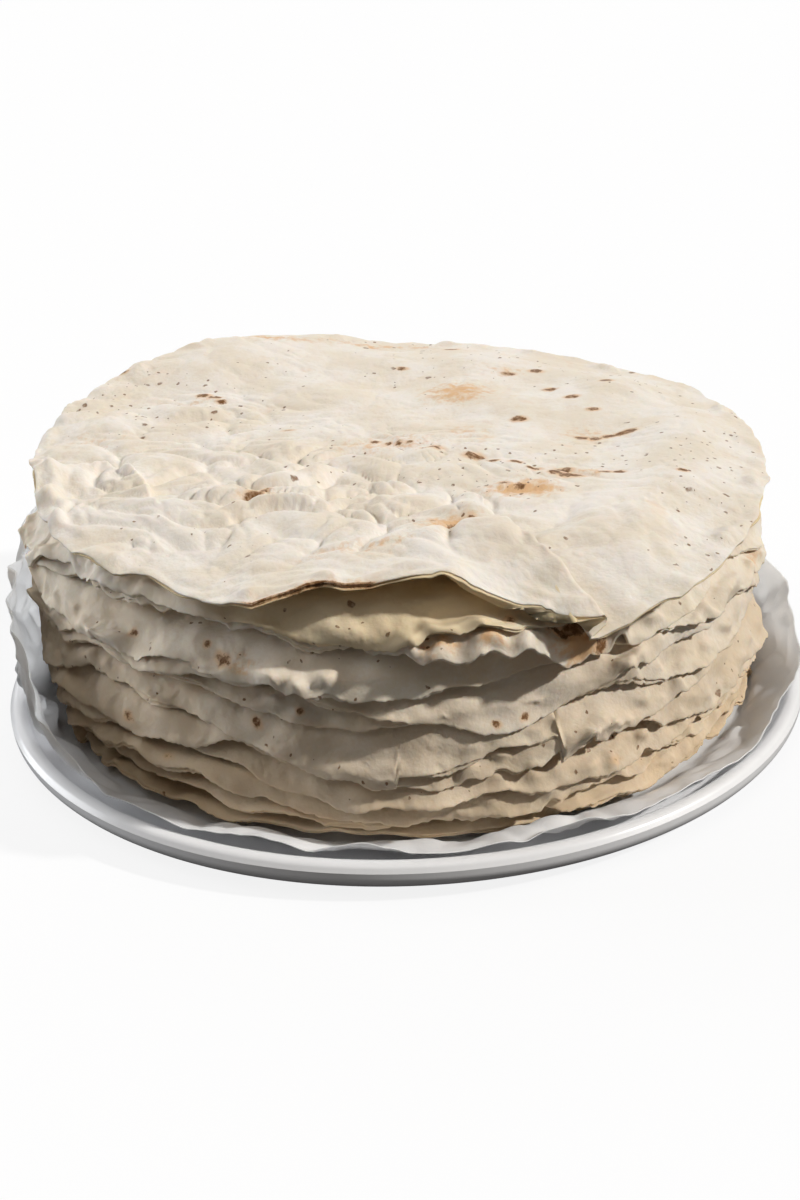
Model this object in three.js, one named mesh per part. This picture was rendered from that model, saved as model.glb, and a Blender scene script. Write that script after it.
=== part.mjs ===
// A pile of twelve large thin flatbreads on crumpled baking parchment, on a round glazed plate.
// Units are millimetres and +Z is up. The origin is on the plate's axis, at the plane it stands on.
import * as THREE from 'three';

// ---- Driving dimensions of the breads ----
const BREAD_COUNT = 12;
const BREAD_RADIUS = 165; // the flat middle of a bread, out to where its rim turns down
const BREAD_PITCH = 10.3; // height that one bread takes up in the pile
const RIM_RUN = 10; // how far a rim reaches outward while it turns down
const RIM_DROP = 18; // how far the edge of a rim hangs below the bread's own top
const RIM_DEPTH = 4.2; // upright depth of the thin rim, measured straight down through it
const RIM_WAVE = 0.22; // share by which the drop of a rim rises and falls around the bread
const EDGE_WAVE = 2.4; // how far the torn edge wanders in and out
const TOP_SWELL = 3; // height of the soft hills on the uppermost bread

// ---- Driving dimensions of the uppermost bread's free rim ----
const FLAP_RUN = 14; // its mean reach, further out than the rims below it

// ---- Driving dimensions of the parchment ----
const PAPER_THICKNESS = 0.8;
const PAPER_WALL_HEIGHT = 80; // where it stands up beside the pile
const PAPER_FRONT_RISE = 3; // where it only lies towards the lip
const PAPER_BELLY_HEIGHT = 36; // the height at which the standing part leans out most
const PAPER_LEAN = 8; // how far it leans out there, over the lip
const PAPER_TOP_LEAN = 4; // how far its upper edge leans out

// ---- Driving dimensions of the plate ----
const PLATE_THICKNESS = 6.5;
const FOOT_HEIGHT = 2.5;
const FOOT_WIDTH = 7;
const FOOT_INSET = 55; // from the plate's outer edge in to the foot
const LIP_HEIGHT = 9; // from the flat of the plate up to the top of its lip
const LIP_WIDTH = 9;
const LIP_SLOPE = 6; // width of the curve from the flat up to the lip

// ---- Clearances ----
const REST_GAP = 0.4; // between things that rest on each other
const RIM_CLEARANCE = 0.9; // the least upright gap under a hanging rim
const PAPER_CLEARANCE = 5; // between the pile's widest edge and the standing parchment
const LIP_CLEARANCE = 1.6; // between the parchment and the inside of the lip

// ---- Fineness of the facets ----
const BREAD_SEGMENTS = 36;
const PAPER_SEGMENTS = 48;
const PLATE_SEGMENTS = 60;
const LIP_ARC_STEPS = 6;

// ---- Sizes that follow from the ones above ----
const WIDEST_EDGE = BREAD_RADIUS + RIM_RUN + EDGE_WAVE;
const PAPER_BEND_RADIUS = WIDEST_EDGE + PAPER_CLEARANCE;
const LIP_INNER_RADIUS = PAPER_BEND_RADIUS + PAPER_THICKNESS + LIP_CLEARANCE + LIP_SLOPE;
const PLATE_RADIUS = LIP_INNER_RADIUS + LIP_WIDTH;
const PLATE_TOP = FOOT_HEIGHT + PLATE_THICKNESS;
const PAPER_BOTTOM = PLATE_TOP + REST_GAP;
const PAPER_TOP = PAPER_BOTTOM + PAPER_THICKNESS;
const PILE_BOTTOM = PAPER_TOP + REST_GAP;
const TAU = 2 * Math.PI;

const BREAD_COLOUR = 0xe8dcc6;
const TOP_BREAD_COLOUR = 0xefe6d6;
const PAPER_COLOUR = 0xeceff1;
const PLATE_COLOUR = 0xf3f4f5;

// ---- Small helpers ----
function matt(colour, roughness) {
  return new THREE.MeshStandardMaterial({ color: colour, roughness, metalness: 0 });
}

function smoothStep(low, high, value) {
  return THREE.MathUtils.smoothstep(value, low, high);
}

// A closed round sheet. upper(ring, angle) and lower(ring, angle) give { radius, height } on its
// two faces, for ring 0 at the middle up to ring ringCount at the edge.
function sheetSolid(ringCount, segments, upper, lower) {
  const positions = [];
  const indices = [];
  function addFace(face) {
    const first = positions.length / 3;
    positions.push(0, 0, face(0, 0).height);
    for (let ring = 1; ring <= ringCount; ring += 1) {
      for (let step = 0; step < segments; step += 1) {
        const angle = (TAU * step) / segments;
        const { radius, height } = face(ring, angle);
        positions.push(radius * Math.cos(angle), radius * Math.sin(angle), height);
      }
    }
    return first;
  }
  const top = addFace(upper);
  const bottom = addFace(lower);
  const at = (first, ring, step) => first + 1 + (ring - 1) * segments + (step % segments);
  function addTriangle(a, b, c, flipped) {
    if (flipped) indices.push(a, c, b);
    else indices.push(a, b, c);
  }
  for (const [first, flipped] of [[top, false], [bottom, true]]) {
    for (let step = 0; step < segments; step += 1) {
      addTriangle(first, at(first, 1, step), at(first, 1, step + 1), flipped);
      for (let ring = 1; ring < ringCount; ring += 1) {
        const inner = at(first, ring, step);
        const innerNext = at(first, ring, step + 1);
        const outer = at(first, ring + 1, step);
        const outerNext = at(first, ring + 1, step + 1);
        addTriangle(inner, outer, outerNext, flipped);
        addTriangle(inner, outerNext, innerNext, flipped);
      }
    }
  }
  for (let step = 0; step < segments; step += 1) {
    const high = at(top, ringCount, step);
    const highNext = at(top, ringCount, step + 1);
    const low = at(bottom, ringCount, step);
    const lowNext = at(bottom, ringCount, step + 1);
    indices.push(high, low, lowNext, high, lowNext, highNext);
  }
  const geometry = new THREE.BufferGeometry();
  geometry.setAttribute('position', new THREE.Float32BufferAttribute(positions, 3));
  geometry.setIndex(indices);
  geometry.computeVertexNormals();
  return geometry;
}

// ---- The pile ----
// All the breads share these rings out to the turn of the rim, so each rests exactly on the one
// below it. The last ring is the torn edge, which differs from bread to bread.
const MIDDLE_RING_SHARES = [0, 0.5, 0.87];
const RIM_RING_SHARES = [0, 0.6, 1];
const BREAD_RINGS = [
  ...MIDDLE_RING_SHARES.map((share) => share * BREAD_RADIUS),
  ...RIM_RING_SHARES.map((share) => BREAD_RADIUS + share * RIM_RUN),
];
const EDGE_RING = BREAD_RINGS.length - 1;

// Slow waves around a bread. Each turns a little from one bread to the next, so that neighbours
// stay nearly parallel.
const RIM_WAVES = [
  { lobes: 3, start: 0, turn: 0.35 },
  { lobes: 5, start: 1.3, turn: -0.35 },
  { lobes: 8, start: 0.4, turn: 0.7 },
];
const EDGE_WAVES = [
  { lobes: 4, start: -1.57, turn: 1.9 },
  { lobes: 7, start: 0, turn: -1.9 },
];
const RIM_CURVE = 1.7; // 1 would be a straight slope, and more turns down later and steeper
const FLAP_CURVE = 1.5;
const HILL_LOBES = 2;
const HILL_START = 0.7;
const DOME_TURNS = 4.2; // radians of the round wave between the middle and the rim
const DOME_SHARE = 0.6; // its height as a share of the hills'

// The mean of several waves around the pile, between -1 and 1.
function waveAt(waves, number, angle) {
  const one = ({ lobes, start, turn }) => Math.cos(lobes * angle + start + turn * number);
  return waves.reduce((sum, wave) => sum + one(wave), 0) / waves.length;
}

// The soft hills that the pile gathers towards its top.
function swell(number, radius, angle) {
  const share = number / BREAD_COUNT;
  const outward = radius / BREAD_RADIUS;
  const hills = Math.cos(HILL_LOBES * angle + HILL_START) * outward * outward;
  const dome = DOME_SHARE * Math.cos(DOME_TURNS * outward);
  return TOP_SWELL * share * share * (hills + dome);
}

function breadLevel(number) {
  return PILE_BOTTOM - REST_GAP + number * BREAD_PITCH;
}

// The lower breads lie nearly flat. Each further bread can hang a little lower than the last,
// as long as its rim still clears the rim under it.
function rimDrop(number) {
  const extraDrop = BREAD_PITCH - RIM_DEPTH - RIM_CLEARANCE;
  return Math.min(RIM_DROP, (number - 1) * extraDrop * (1 - RIM_WAVE));
}

// Height of a bread's upper face. Number 0 is the parchment that the first bread lies on.
function breadTop(number, radius, angle) {
  if (number === 0) return PAPER_TOP;
  const run = Math.max(0, (radius - BREAD_RADIUS) / RIM_RUN);
  const drop = rimDrop(number) * (1 + RIM_WAVE * waveAt(RIM_WAVES, number, angle));
  return breadLevel(number) + swell(number, radius, angle) - drop * run ** RIM_CURVE;
}

// Height of a bread's lower face: on the bread below as far as the rim, then a thin hanging lip.
function breadBottom(number, radius, angle, top) {
  const resting = breadTop(number - 1, radius, angle) + REST_GAP;
  const thin = Math.max(resting, top - RIM_DEPTH);
  const lip = smoothStep(BREAD_RADIUS - RIM_RUN, BREAD_RADIUS + RIM_RUN / 2, radius);
  return THREE.MathUtils.lerp(resting, thin, lip);
}

// A bread from its upper face: upper(ring, angle) gives { radius, height }.
function breadFromTop(number, upper, material) {
  const lower = (ring, angle) => {
    const { radius, height } = upper(ring, angle);
    return { radius, height: breadBottom(number, radius, angle, height) };
  };
  const mesh = new THREE.Mesh(sheetSolid(EDGE_RING, BREAD_SEGMENTS, upper, lower), material);
  mesh.name = `bread_${String(number).padStart(2, '0')}`;
  return mesh;
}

function breadMesh(number) {
  const upper = (ring, angle) => {
    const wander = ring === EDGE_RING ? EDGE_WAVE * waveAt(EDGE_WAVES, number, angle) : 0;
    const radius = BREAD_RINGS[ring] + wander;
    return { radius, height: breadTop(number, radius, angle) };
  };
  return breadFromTop(number, upper, matt(BREAD_COLOUR, 0.92));
}

// ---- The uppermost bread ----
// Its free rim: at each bearing around the bread, how far it reaches as a share of the flap's run,
// and how far its edge stands above (+) or hangs below (-) the level of its middle.
const FLAP_SHAPE = [
  { at: -178, reach: 0.86, rise: -3 },
  { at: -165, reach: 0.6, rise: 4 },
  { at: -150, reach: 1.1, rise: -2 },
  { at: -131, reach: 1.2, rise: -10 },
  { at: -110, reach: 1.5, rise: -12 },
  { at: -94, reach: 0.65, rise: -3 },
  { at: -86, reach: 0.5, rise: 2 },
  { at: -74, reach: 1.35, rise: -18 },
  { at: -65, reach: 2.2, rise: -29 },
  { at: -56, reach: 2.15, rise: -21 },
  { at: -40, reach: 1.65, rise: -13 },
  { at: -20, reach: 1.0, rise: -8 },
  { at: 20, reach: 0.8, rise: -6 },
  { at: 68, reach: 0.7, rise: -6 },
  { at: 95, reach: 0.85, rise: -2 },
  { at: 128, reach: 0.95, rise: 7 },
  { at: 150, reach: 0.95, rise: 4 },
];

// Follows the list smoothly around the bread.
function flapAt(angle) {
  const bearing = THREE.MathUtils.euclideanModulo(THREE.MathUtils.radToDeg(angle) + 180, 360) - 180;
  const last = FLAP_SHAPE.length - 1;
  let index = last;
  while (index > 0 && FLAP_SHAPE[index].at > bearing) index -= 1;
  const from = FLAP_SHAPE[index];
  const to = FLAP_SHAPE[index === last ? 0 : index + 1];
  const span = index === last ? to.at + 360 - from.at : to.at - from.at;
  const share = smoothStep(0, 1, (bearing - from.at) / span);
  return {
    reach: THREE.MathUtils.lerp(from.reach, to.reach, share),
    rise: THREE.MathUtils.lerp(from.rise, to.rise, share),
  };
}

function topBreadMesh() {
  const upper = (ring, angle) => {
    const { reach, rise } = flapAt(angle);
    const share = Math.max(0, (BREAD_RINGS[ring] - BREAD_RADIUS) / RIM_RUN);
    const radius = Math.min(BREAD_RINGS[ring], BREAD_RADIUS) + share * reach * FLAP_RUN;
    const level = breadLevel(BREAD_COUNT) + swell(BREAD_COUNT, radius, angle);
    return { radius, height: level + rise * share ** FLAP_CURVE };
  };
  return breadFromTop(BREAD_COUNT, upper, matt(TOP_BREAD_COLOUR, 0.9));
}

// ---- The parchment ----
// It lies flat under the pile, only tilts up at the front, and stands as a wall round the rest.
const PAPER_FRONT = THREE.MathUtils.degToRad(-90);
const PAPER_WALL_STARTS = THREE.MathUtils.degToRad(62); // away from the front, to either side
const PAPER_WALL_FULL = THREE.MathUtils.degToRad(112);
const PAPER_RINGS = 5; // two on the flat, then three up the wall

function paperWallShare(angle) {
  const away = Math.abs(Math.atan2(Math.sin(angle - PAPER_FRONT), Math.cos(angle - PAPER_FRONT)));
  return smoothStep(PAPER_WALL_STARTS, PAPER_WALL_FULL, away);
}

// The upper edge of the wall rises and falls, as the sheet's corners do.
const PAPER_EDGE_WAVE = 0.2; // as a share of the wall's height
const PAPER_EDGE_WAVES = [
  { lobes: 5, start: 0, turn: 0 },
  { lobes: 3, start: -1.57, turn: 0 },
];

function paperEdgeHeight(angle) {
  return PAPER_WALL_HEIGHT * (1 + PAPER_EDGE_WAVE * waveAt(PAPER_EDGE_WAVES, 0, angle));
}

// The sheet's middle line, ring by ring from the middle outward.
function paperLine(ring, angle) {
  const level = (PAPER_BOTTOM + PAPER_TOP) / 2;
  if (ring === 0) return { radius: 0, height: level };
  if (ring === 1) return { radius: PAPER_BEND_RADIUS / 2, height: level };
  if (ring === 2) return { radius: PAPER_BEND_RADIUS, height: level };
  const standing = [
    { radius: PAPER_BEND_RADIUS + LIP_CLEARANCE, height: level + LIP_HEIGHT },
    { radius: PAPER_BEND_RADIUS + PAPER_LEAN, height: level + PAPER_BELLY_HEIGHT },
    { radius: PAPER_BEND_RADIUS + PAPER_TOP_LEAN, height: level + paperEdgeHeight(angle) },
  ][ring - 3];
  const share = (ring - 2) / (PAPER_RINGS - 2);
  const lying = {
    radius: PAPER_BEND_RADIUS + share * LIP_SLOPE,
    height: level + share * PAPER_FRONT_RISE,
  };
  const wall = paperWallShare(angle);
  return {
    radius: THREE.MathUtils.lerp(lying.radius, standing.radius, wall),
    height: THREE.MathUtils.lerp(lying.height, standing.height, wall),
  };
}

// One face of the sheet: its middle line moved square to itself by half the thickness.
function paperFace(ring, angle, side) {
  const here = paperLine(ring, angle);
  const half = (side * PAPER_THICKNESS) / 2;
  if (ring <= 1) return { radius: here.radius, height: here.height + half };
  const before = paperLine(ring - 1, angle);
  const after = paperLine(Math.min(PAPER_RINGS, ring + 1), angle);
  const along = new THREE.Vector2(after.radius - before.radius, after.height - before.height);
  along.normalize();
  return { radius: here.radius - half * along.y, height: here.height + half * along.x };
}

function paperMesh() {
  const upper = (ring, angle) => paperFace(ring, angle, 1);
  const lower = (ring, angle) => paperFace(ring, angle, -1);
  const geometry = sheetSolid(PAPER_RINGS, PAPER_SEGMENTS, upper, lower);
  const mesh = new THREE.Mesh(geometry, matt(PAPER_COLOUR, 0.6));
  mesh.name = 'parchment_sheet';
  return mesh;
}

// ---- The plate ----
// A flat round dish with a thick rounded lip, standing on a low ring.
const FOOT_CHAMFER = 1;
const UNDERSIDE_RISE = 1; // the underside lifts a little before it turns up into the lip

function platePoints() {
  const footOuter = PLATE_RADIUS - FOOT_INSET;
  const footInner = footOuter - FOOT_WIDTH;
  const lipRadius = LIP_WIDTH / 2;
  const lipCentre = PLATE_RADIUS - lipRadius;
  const lipCentreHeight = PLATE_TOP + LIP_HEIGHT - lipRadius;
  const points = [
    [0, FOOT_HEIGHT],
    [footInner - FOOT_CHAMFER, FOOT_HEIGHT],
    [footInner, 0],
    [footOuter, 0],
    [footOuter + FOOT_CHAMFER, FOOT_HEIGHT],
    [lipCentre - LIP_WIDTH, FOOT_HEIGHT + UNDERSIDE_RISE],
    [lipCentre, FOOT_HEIGHT + UNDERSIDE_RISE + lipRadius / 2],
  ];
  for (let step = 0; step <= LIP_ARC_STEPS; step += 1) {
    const turn = (Math.PI * step) / LIP_ARC_STEPS;
    const across = lipRadius * Math.cos(turn);
    points.push([lipCentre + across, lipCentreHeight + lipRadius * Math.sin(turn)]);
  }
  points.push([LIP_INNER_RADIUS - LIP_SLOPE / 2, PLATE_TOP + UNDERSIDE_RISE]);
  points.push([LIP_INNER_RADIUS - LIP_SLOPE, PLATE_TOP]);
  points.push([0, PLATE_TOP]);
  return points.map(([radius, height]) => new THREE.Vector2(radius, height));
}

function plateMesh() {
  const geometry = new THREE.LatheGeometry(platePoints(), PLATE_SEGMENTS);
  const mesh = new THREE.Mesh(geometry, matt(PLATE_COLOUR, 0.12));
  mesh.rotation.x = Math.PI / 2; // a lathe turns about +Y, and the plate's axis is +Z
  mesh.name = 'serving_plate';
  return mesh;
}

const group = new THREE.Group();
group.add(plateMesh(), paperMesh());
for (let number = 1; number < BREAD_COUNT; number += 1) group.add(breadMesh(number));
group.add(topBreadMesh());

export default group;
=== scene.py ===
# %% [markdown]
# # A pile of twelve large flatbreads on parchment, on a glazed plate
#
# This lesson dresses a plain solid model. The solids fix every size and place, and here each one
# gets the surface of the real thing. It shows four things that food needs: how to drape thin
# sheets over one another so that none cuts through its neighbour, how to tear and split their
# edges, how to crumple paper, and how to toast a crust with shader nodes alone.

# %% Load the solids and keep their box
import math

import bpy
import numpy as np
from mathutils import Matrix, Vector


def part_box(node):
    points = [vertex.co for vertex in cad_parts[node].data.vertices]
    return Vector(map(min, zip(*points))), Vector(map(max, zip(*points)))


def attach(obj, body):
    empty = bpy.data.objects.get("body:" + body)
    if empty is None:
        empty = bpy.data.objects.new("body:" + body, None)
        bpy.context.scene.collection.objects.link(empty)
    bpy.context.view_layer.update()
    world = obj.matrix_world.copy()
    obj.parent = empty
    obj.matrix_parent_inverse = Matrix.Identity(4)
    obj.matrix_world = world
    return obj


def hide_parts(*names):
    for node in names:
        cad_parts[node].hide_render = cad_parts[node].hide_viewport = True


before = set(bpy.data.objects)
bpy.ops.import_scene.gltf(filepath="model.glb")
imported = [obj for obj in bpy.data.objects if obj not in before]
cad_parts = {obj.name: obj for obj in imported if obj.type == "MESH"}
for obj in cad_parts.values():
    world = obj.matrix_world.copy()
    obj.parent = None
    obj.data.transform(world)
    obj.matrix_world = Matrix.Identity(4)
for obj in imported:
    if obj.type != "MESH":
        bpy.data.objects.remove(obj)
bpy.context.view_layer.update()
MM = 0.001
TAU = 2 * math.pi
BREADS = sorted(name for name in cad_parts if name.startswith("bread_"))

# %% [markdown]
# ## The camera
#
# The pile is seen from a little above a table's edge, by someone standing close to it. The camera
# comes first, because every later choice is judged through it. It is described by where it stands,
# how far it tilts and how much it leans. Its lens is a little longer than a normal one.

# %% Camera
CAMERA_AT = Vector((0.0, -0.85, 0.4285))
CAMERA_TILT = math.radians(23.99)
CAMERA_PAN = math.radians(-0.095)
CAMERA_ROLL = math.radians(-2.31)
LENS_LENGTH, SENSOR_WIDTH = 55.2, 36  # mm


def new_object(name, data):
    """An object in the scene's own collection."""
    made = bpy.data.objects.new(name, data)
    bpy.context.scene.collection.objects.link(made)
    return made


def camera_axes(pan, tilt, roll):
    """Right, up and forward of a camera that looks along +Y before it is turned."""
    flat = math.cos(tilt)
    forward = Vector((math.sin(pan) * flat, math.cos(pan) * flat, -math.sin(tilt)))
    level = forward.cross(Vector((0, 0, 1))).normalized()
    upright = level.cross(forward)
    right = level * math.cos(roll) + upright * math.sin(roll)
    up = upright * math.cos(roll) - level * math.sin(roll)
    return right, up, forward


lens = bpy.data.cameras.new("camera")
camera = new_object("camera", lens)
right, up, forward = camera_axes(CAMERA_PAN, CAMERA_TILT, CAMERA_ROLL)
rows = [(right[i], up[i], -forward[i], CAMERA_AT[i]) for i in range(3)]
camera.matrix_world = Matrix((*rows, (0, 0, 0, 1)))
lens.sensor_width = SENSOR_WIDTH
lens.lens = LENS_LENGTH
lens.clip_start = 0.01
bpy.context.scene.camera = camera
print("lens", round(lens.lens, 1), "mm")

# %% [markdown]
# ## Measures taken from the solids
#
# The plate's foot is at zero. The lowest bread's underside gives the level of the parchment, and
# the distance between the tops of the tenth and eleventh breads gives the height that one bread
# takes up. Nothing below repeats a size that the solids already hold.

# %% Levels of the pile
def corners(node):
    low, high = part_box(node)
    return np.array(low), np.array(high)


first_low, first_high = corners(BREADS[0])
PITCH = float(corners("bread_11")[1][2] - corners("bread_10")[1][2])
PILE_BOTTOM = float(first_low[2])
PLATE_RADIUS = float(corners("serving_plate")[1][0])
RIM_ROOM = 11 * MM  # how far inside its edge a rim turns down
TURN_RADIUS = float(first_high[0]) - RIM_ROOM
LAY_GAP = 0.4 * MM  # left between neighbours
print("pile from", round(PILE_BOTTOM / MM, 1), "mm, one bread is", round(PITCH / MM, 2), "mm")
print("rims turn down at", round(TURN_RADIUS / MM, 1), "mm from the middle")

# %% [markdown]
# ## Smooth random relief
#
# Dough is uneven at every scale, from slow hills to small blisters. Noise that is filtered to one
# range of widths lets each scale be set by itself. Filtering with a Fourier transform is quick, and
# the same seed always gives the same field. The field tiles, so a bread can start anywhere in it.

# %% Filtered noise
FIELD_CELLS = 512
FIELD_SIZE = 0.48


def noise_field(seed, width, spread=0.55):
    """A square of smooth noise with bumps about this wide, scaled to a mean square of one."""
    rng = np.random.default_rng(seed)
    white = rng.standard_normal((FIELD_CELLS, FIELD_CELLS))
    wave = np.fft.fftfreq(FIELD_CELLS, FIELD_SIZE / FIELD_CELLS)
    per_metre = np.hypot(wave[:, None], wave[None, :]) + 1e-9
    band = np.exp(-(np.log(per_metre * width) / spread) ** 2)
    field = np.real(np.fft.ifft2(np.fft.fft2(white) * band))
    return field / field.std()


def sample(field, x, y):
    """Reads a field at points of the flat sheet, in metres, blending the four nearest cells."""
    u = np.asarray(x) / FIELD_SIZE * FIELD_CELLS
    v = np.asarray(y) / FIELD_SIZE * FIELD_CELLS
    low_u, low_v = np.floor(u).astype(int), np.floor(v).astype(int)
    share_u, share_v = u - low_u, v - low_v
    a, b = low_u % FIELD_CELLS, low_v % FIELD_CELLS
    c, d = (a + 1) % FIELD_CELLS, (b + 1) % FIELD_CELLS
    near = field[a, b] * (1 - share_u) + field[c, b] * share_u
    far = field[a, d] * (1 - share_u) + field[c, d] * share_u
    return near * (1 - share_v) + far * share_v


def ring_wave(seed, lobes_from, lobes_to, angles):
    """A smooth random line round the bread, with bumps between the two counts of lobes."""
    rng = np.random.default_rng(seed)
    total = np.zeros_like(angles)
    for lobes in range(lobes_from, lobes_to + 1):
        total += rng.normal() * np.cos(lobes * angles + rng.uniform(0, TAU))
    return total / math.sqrt((lobes_to - lobes_from + 1) / 2)


def smooth_step(low, high, value):
    share = np.clip((value - low) / (high - low), 0, 1)
    return share * share * (3 - 2 * share)


def blur(field, cells_round, cells_out):
    """Gaussian smoothing: round the pile, where the grid closes on itself, and outward."""
    rounds, outs = field.shape
    padded = np.pad(field, ((0, 0), (outs // 2, outs // 2)), mode="edge")
    wave_round = np.fft.fftfreq(rounds)[:, None]
    wave_out = np.fft.rfftfreq(padded.shape[1])[None, :]
    keep = np.exp(-2 * (math.pi * cells_round * wave_round) ** 2)
    keep = keep * np.exp(-2 * (math.pi * cells_out * wave_out) ** 2)
    smooth = np.fft.irfft2(np.fft.rfft2(padded) * keep, s=padded.shape)
    return smooth[:, outs // 2:outs // 2 + outs]


print("fields of", FIELD_CELLS, "cells,", round(FIELD_SIZE / FIELD_CELLS / MM, 2), "mm each")

# %% [markdown]
# ## How one sheet is laid over another
#
# A rim is flat where it leaves the pile and hangs nearly upright at its edge. Neither its height
# nor its reach is single-valued over such a bend. Leaning the page by 45 degrees makes it so:
# `across` runs outward and down, and `above` runs outward and up. In that page a rim is one line
# that never turns back, and "lies on top of" is simply "has more `above`". So each new bread takes
# the larger of two lines: where it would like to hang, and the pile below it plus its thickness.
# A cloth simulation of twelve sheets in contact would take minutes and wander; this takes a second.

# %% The leaning page
ROOT_HALF = math.sqrt(0.5)
ROUNDS = 768
STEP = 0.7 * MM
ACROSS = np.arange(-102 * MM, 132 * MM, STEP)
ANGLES = np.arange(ROUNDS) * TAU / ROUNDS
BEARINGS = (np.degrees(ANGLES) + 270) % 360 - 270  # -90 is the front, and 90 ends the range


def turn_from(bearing):
    """The angle from a bearing in degrees to every column, the short way round."""
    return (ANGLES - math.radians(bearing) + math.pi) % TAU - math.pi


def between(start, full, full_end, end):
    """One between the two inner bearings, and fading to nothing at the outer two."""
    return smooth_step(start, full, BEARINGS) * (1 - smooth_step(full_end, end, BEARINGS))


def bread_wave(number, use, lobes_from, lobes_to):
    """A random line round the bread, with a seed of its own for each bread and each use."""
    return ring_wave(number * 7 + use, lobes_from, lobes_to, ANGLES)


def from_page(across, above):
    return (across + above) * ROOT_HALF, (above - across) * ROOT_HALF


def soft_max(one, other, softness):
    """The larger of two lines, with the corner between them rounded, and no change far from it."""
    apart = one - other
    rounding = softness * np.exp(-0.5 * (apart / (2 * softness)) ** 2)
    return 0.5 * (one + other + np.sqrt(apart * apart + rounding * rounding))


def soft_min(one, other, softness):
    return -soft_max(-one, -other, softness)


def hanging_line(level, turn, lean, softness):
    """above(across) of a sheet that is level to the turn and then hangs, leaning out by `lean`
    metres for each metre down. Every value but the softness may differ round the bread."""
    flat = ACROSS[None, :] + level / ROOT_HALF
    slope = (lean - 1) / (1 + lean)
    side = (turn + lean * level)[:, None] / ROOT_HALF / (1 + lean[:, None])
    side = side + slope[:, None] * ACROSS[None, :]
    return soft_min(flat, side, softness)


def length_along(above):
    """Distance from the middle of the sheet to every point of its line, along the sheet."""
    rise = np.diff(above, axis=1)
    length = np.concatenate([np.zeros((len(above), 1)), np.cumsum(np.hypot(STEP, rise), 1)], 1)
    radius, _ = from_page(ACROSS, above)
    start = np.argmin(np.abs(radius - 0.5 * TURN_RADIUS), axis=1)
    rows = np.arange(len(above))
    return length - (length[rows, start] - radius[rows, start])[:, None]


print("page of", ROUNDS, "by", len(ACROSS), "points")

# %% [markdown]
# ## Where each bread's edge comes
#
# No two breads are quite round or quite centred, so their edges hang to different depths and
# cross. The side that is looked at most is listed: for each bread a few bearings, in degrees
# from +X, and how far its edge lies below its own level there, in millimetres. Between them and
# round the back the line goes on at random, and a finer random line tears the edge.

# %% Edge drops
EDGE_DROPS = {
    1: [(-150, 3), (-120, 4), (-95, 3), (-60, 6), (-30, 4)],
    2: [(-150, 6), (-125, 5), (-100, 10), (-80, 9), (-55, 14), (-30, 8)],
    3: [(-150, 10), (-123, 6), (-108, 14), (-93, 20), (-70, 17), (-50, 12), (-30, 14)],
    4: [(-150, 14), (-130, 4), (-112, 12), (-98, 22), (-80, 17), (-60, 20), (-30, 16)],
    5: [(-150, 16), (-128, 18), (-114, 8), (-100, 17), (-84, 21), (-62, 16), (-40, 24)],
    6: [(-150, 12), (-128, 9), (-114, 17), (-104, 26), (-95, 31), (-76, 30), (-55, 22), (-35, 12)],
    7: [(-150, 8), (-133, 5), (-117, 6), (-110, 15), (-97, 17), (-80, 10), (-60, 14), (-35, 22)],
    8: [(-150, 15), (-130, 12), (-108, 9), (-92, 22), (-76, 31), (-64, 20), (-50, 14), (-35, 10)],
    9: [(-150, 22), (-137, 23), (-124, 15), (-112, 20), (-96, 22), (-80, 19), (-62, 12), (-40, 20)],
    10: [(-150, 9), (-136, 7), (-118, 4), (-103, 11), (-88, 19), (-74, 25), (-64, 28), (-57, 25),
         (-46, 21), (-35, 14)],
    11: [(-150, 14), (-128, 9), (-114, 12), (-104, 18), (-97, 22), (-90, 21), (-82, 16),
         (-68, 18), (-50, 20), (-32, 9)],
}
LEAST_DROP, MOST_DROP = 3, 32
USUAL_DROP = 17


def through(points, angles, degrees=2.0, column=1):
    """A smooth closed line through hand-set rows of a bearing and values, at even angles."""
    at, value = [point[0] for point in points], [point[column] for point in points]
    line = np.interp(np.degrees(angles), at, value, period=360)
    wave = np.fft.rfftfreq(len(line))
    keep = np.exp(-2 * (math.pi * wave * degrees / 360 * len(line)) ** 2)
    return np.fft.irfft(np.fft.rfft(line) * keep, n=len(line))


def edge_drop(number):
    """How far the edge hangs below the bread's level, in metres, round the bread."""
    at_front = between(-162, -146, -34, -18)
    chosen = through(EDGE_DROPS[number], ANGLES)
    deepest = min(USUAL_DROP, 3 + 3 * number)
    chance = deepest * (1 + 0.38 * bread_wave(number, 1, 2, 9))
    drop = at_front * chosen + (1 - at_front) * np.clip(chance, LEAST_DROP, MOST_DROP)
    torn = 0.7 * bread_wave(number, 2, 12, 30) + 0.14 * bread_wave(number, 3, 50, 120)
    return np.maximum(drop + torn, 0.5 * LEAST_DROP) * MM


for number in (4, 10):
    drop = edge_drop(number) / MM
    print("bread", number, "hangs", round(drop.min(), 1), "to", round(drop.max(), 1), "mm")

# %% [markdown]
# ## Laying the eleven lower breads
#
# Each bread is laid on the pile so far. Its two leaves are under a millimetre each, and they part a
# little at the rim, so the whole thickness has to clear the bread below. The pile below is smoothed
# first, because a sheet of bread is stiff enough to bridge the small steps that torn edges leave.
# Once the bread lies, its own relief is added: slow dents, small dimples, and a row of puffs beside
# the edge, where the dough was pinched and the steam couldn't leave. The next bread then lies on
# that relief too.

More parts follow.
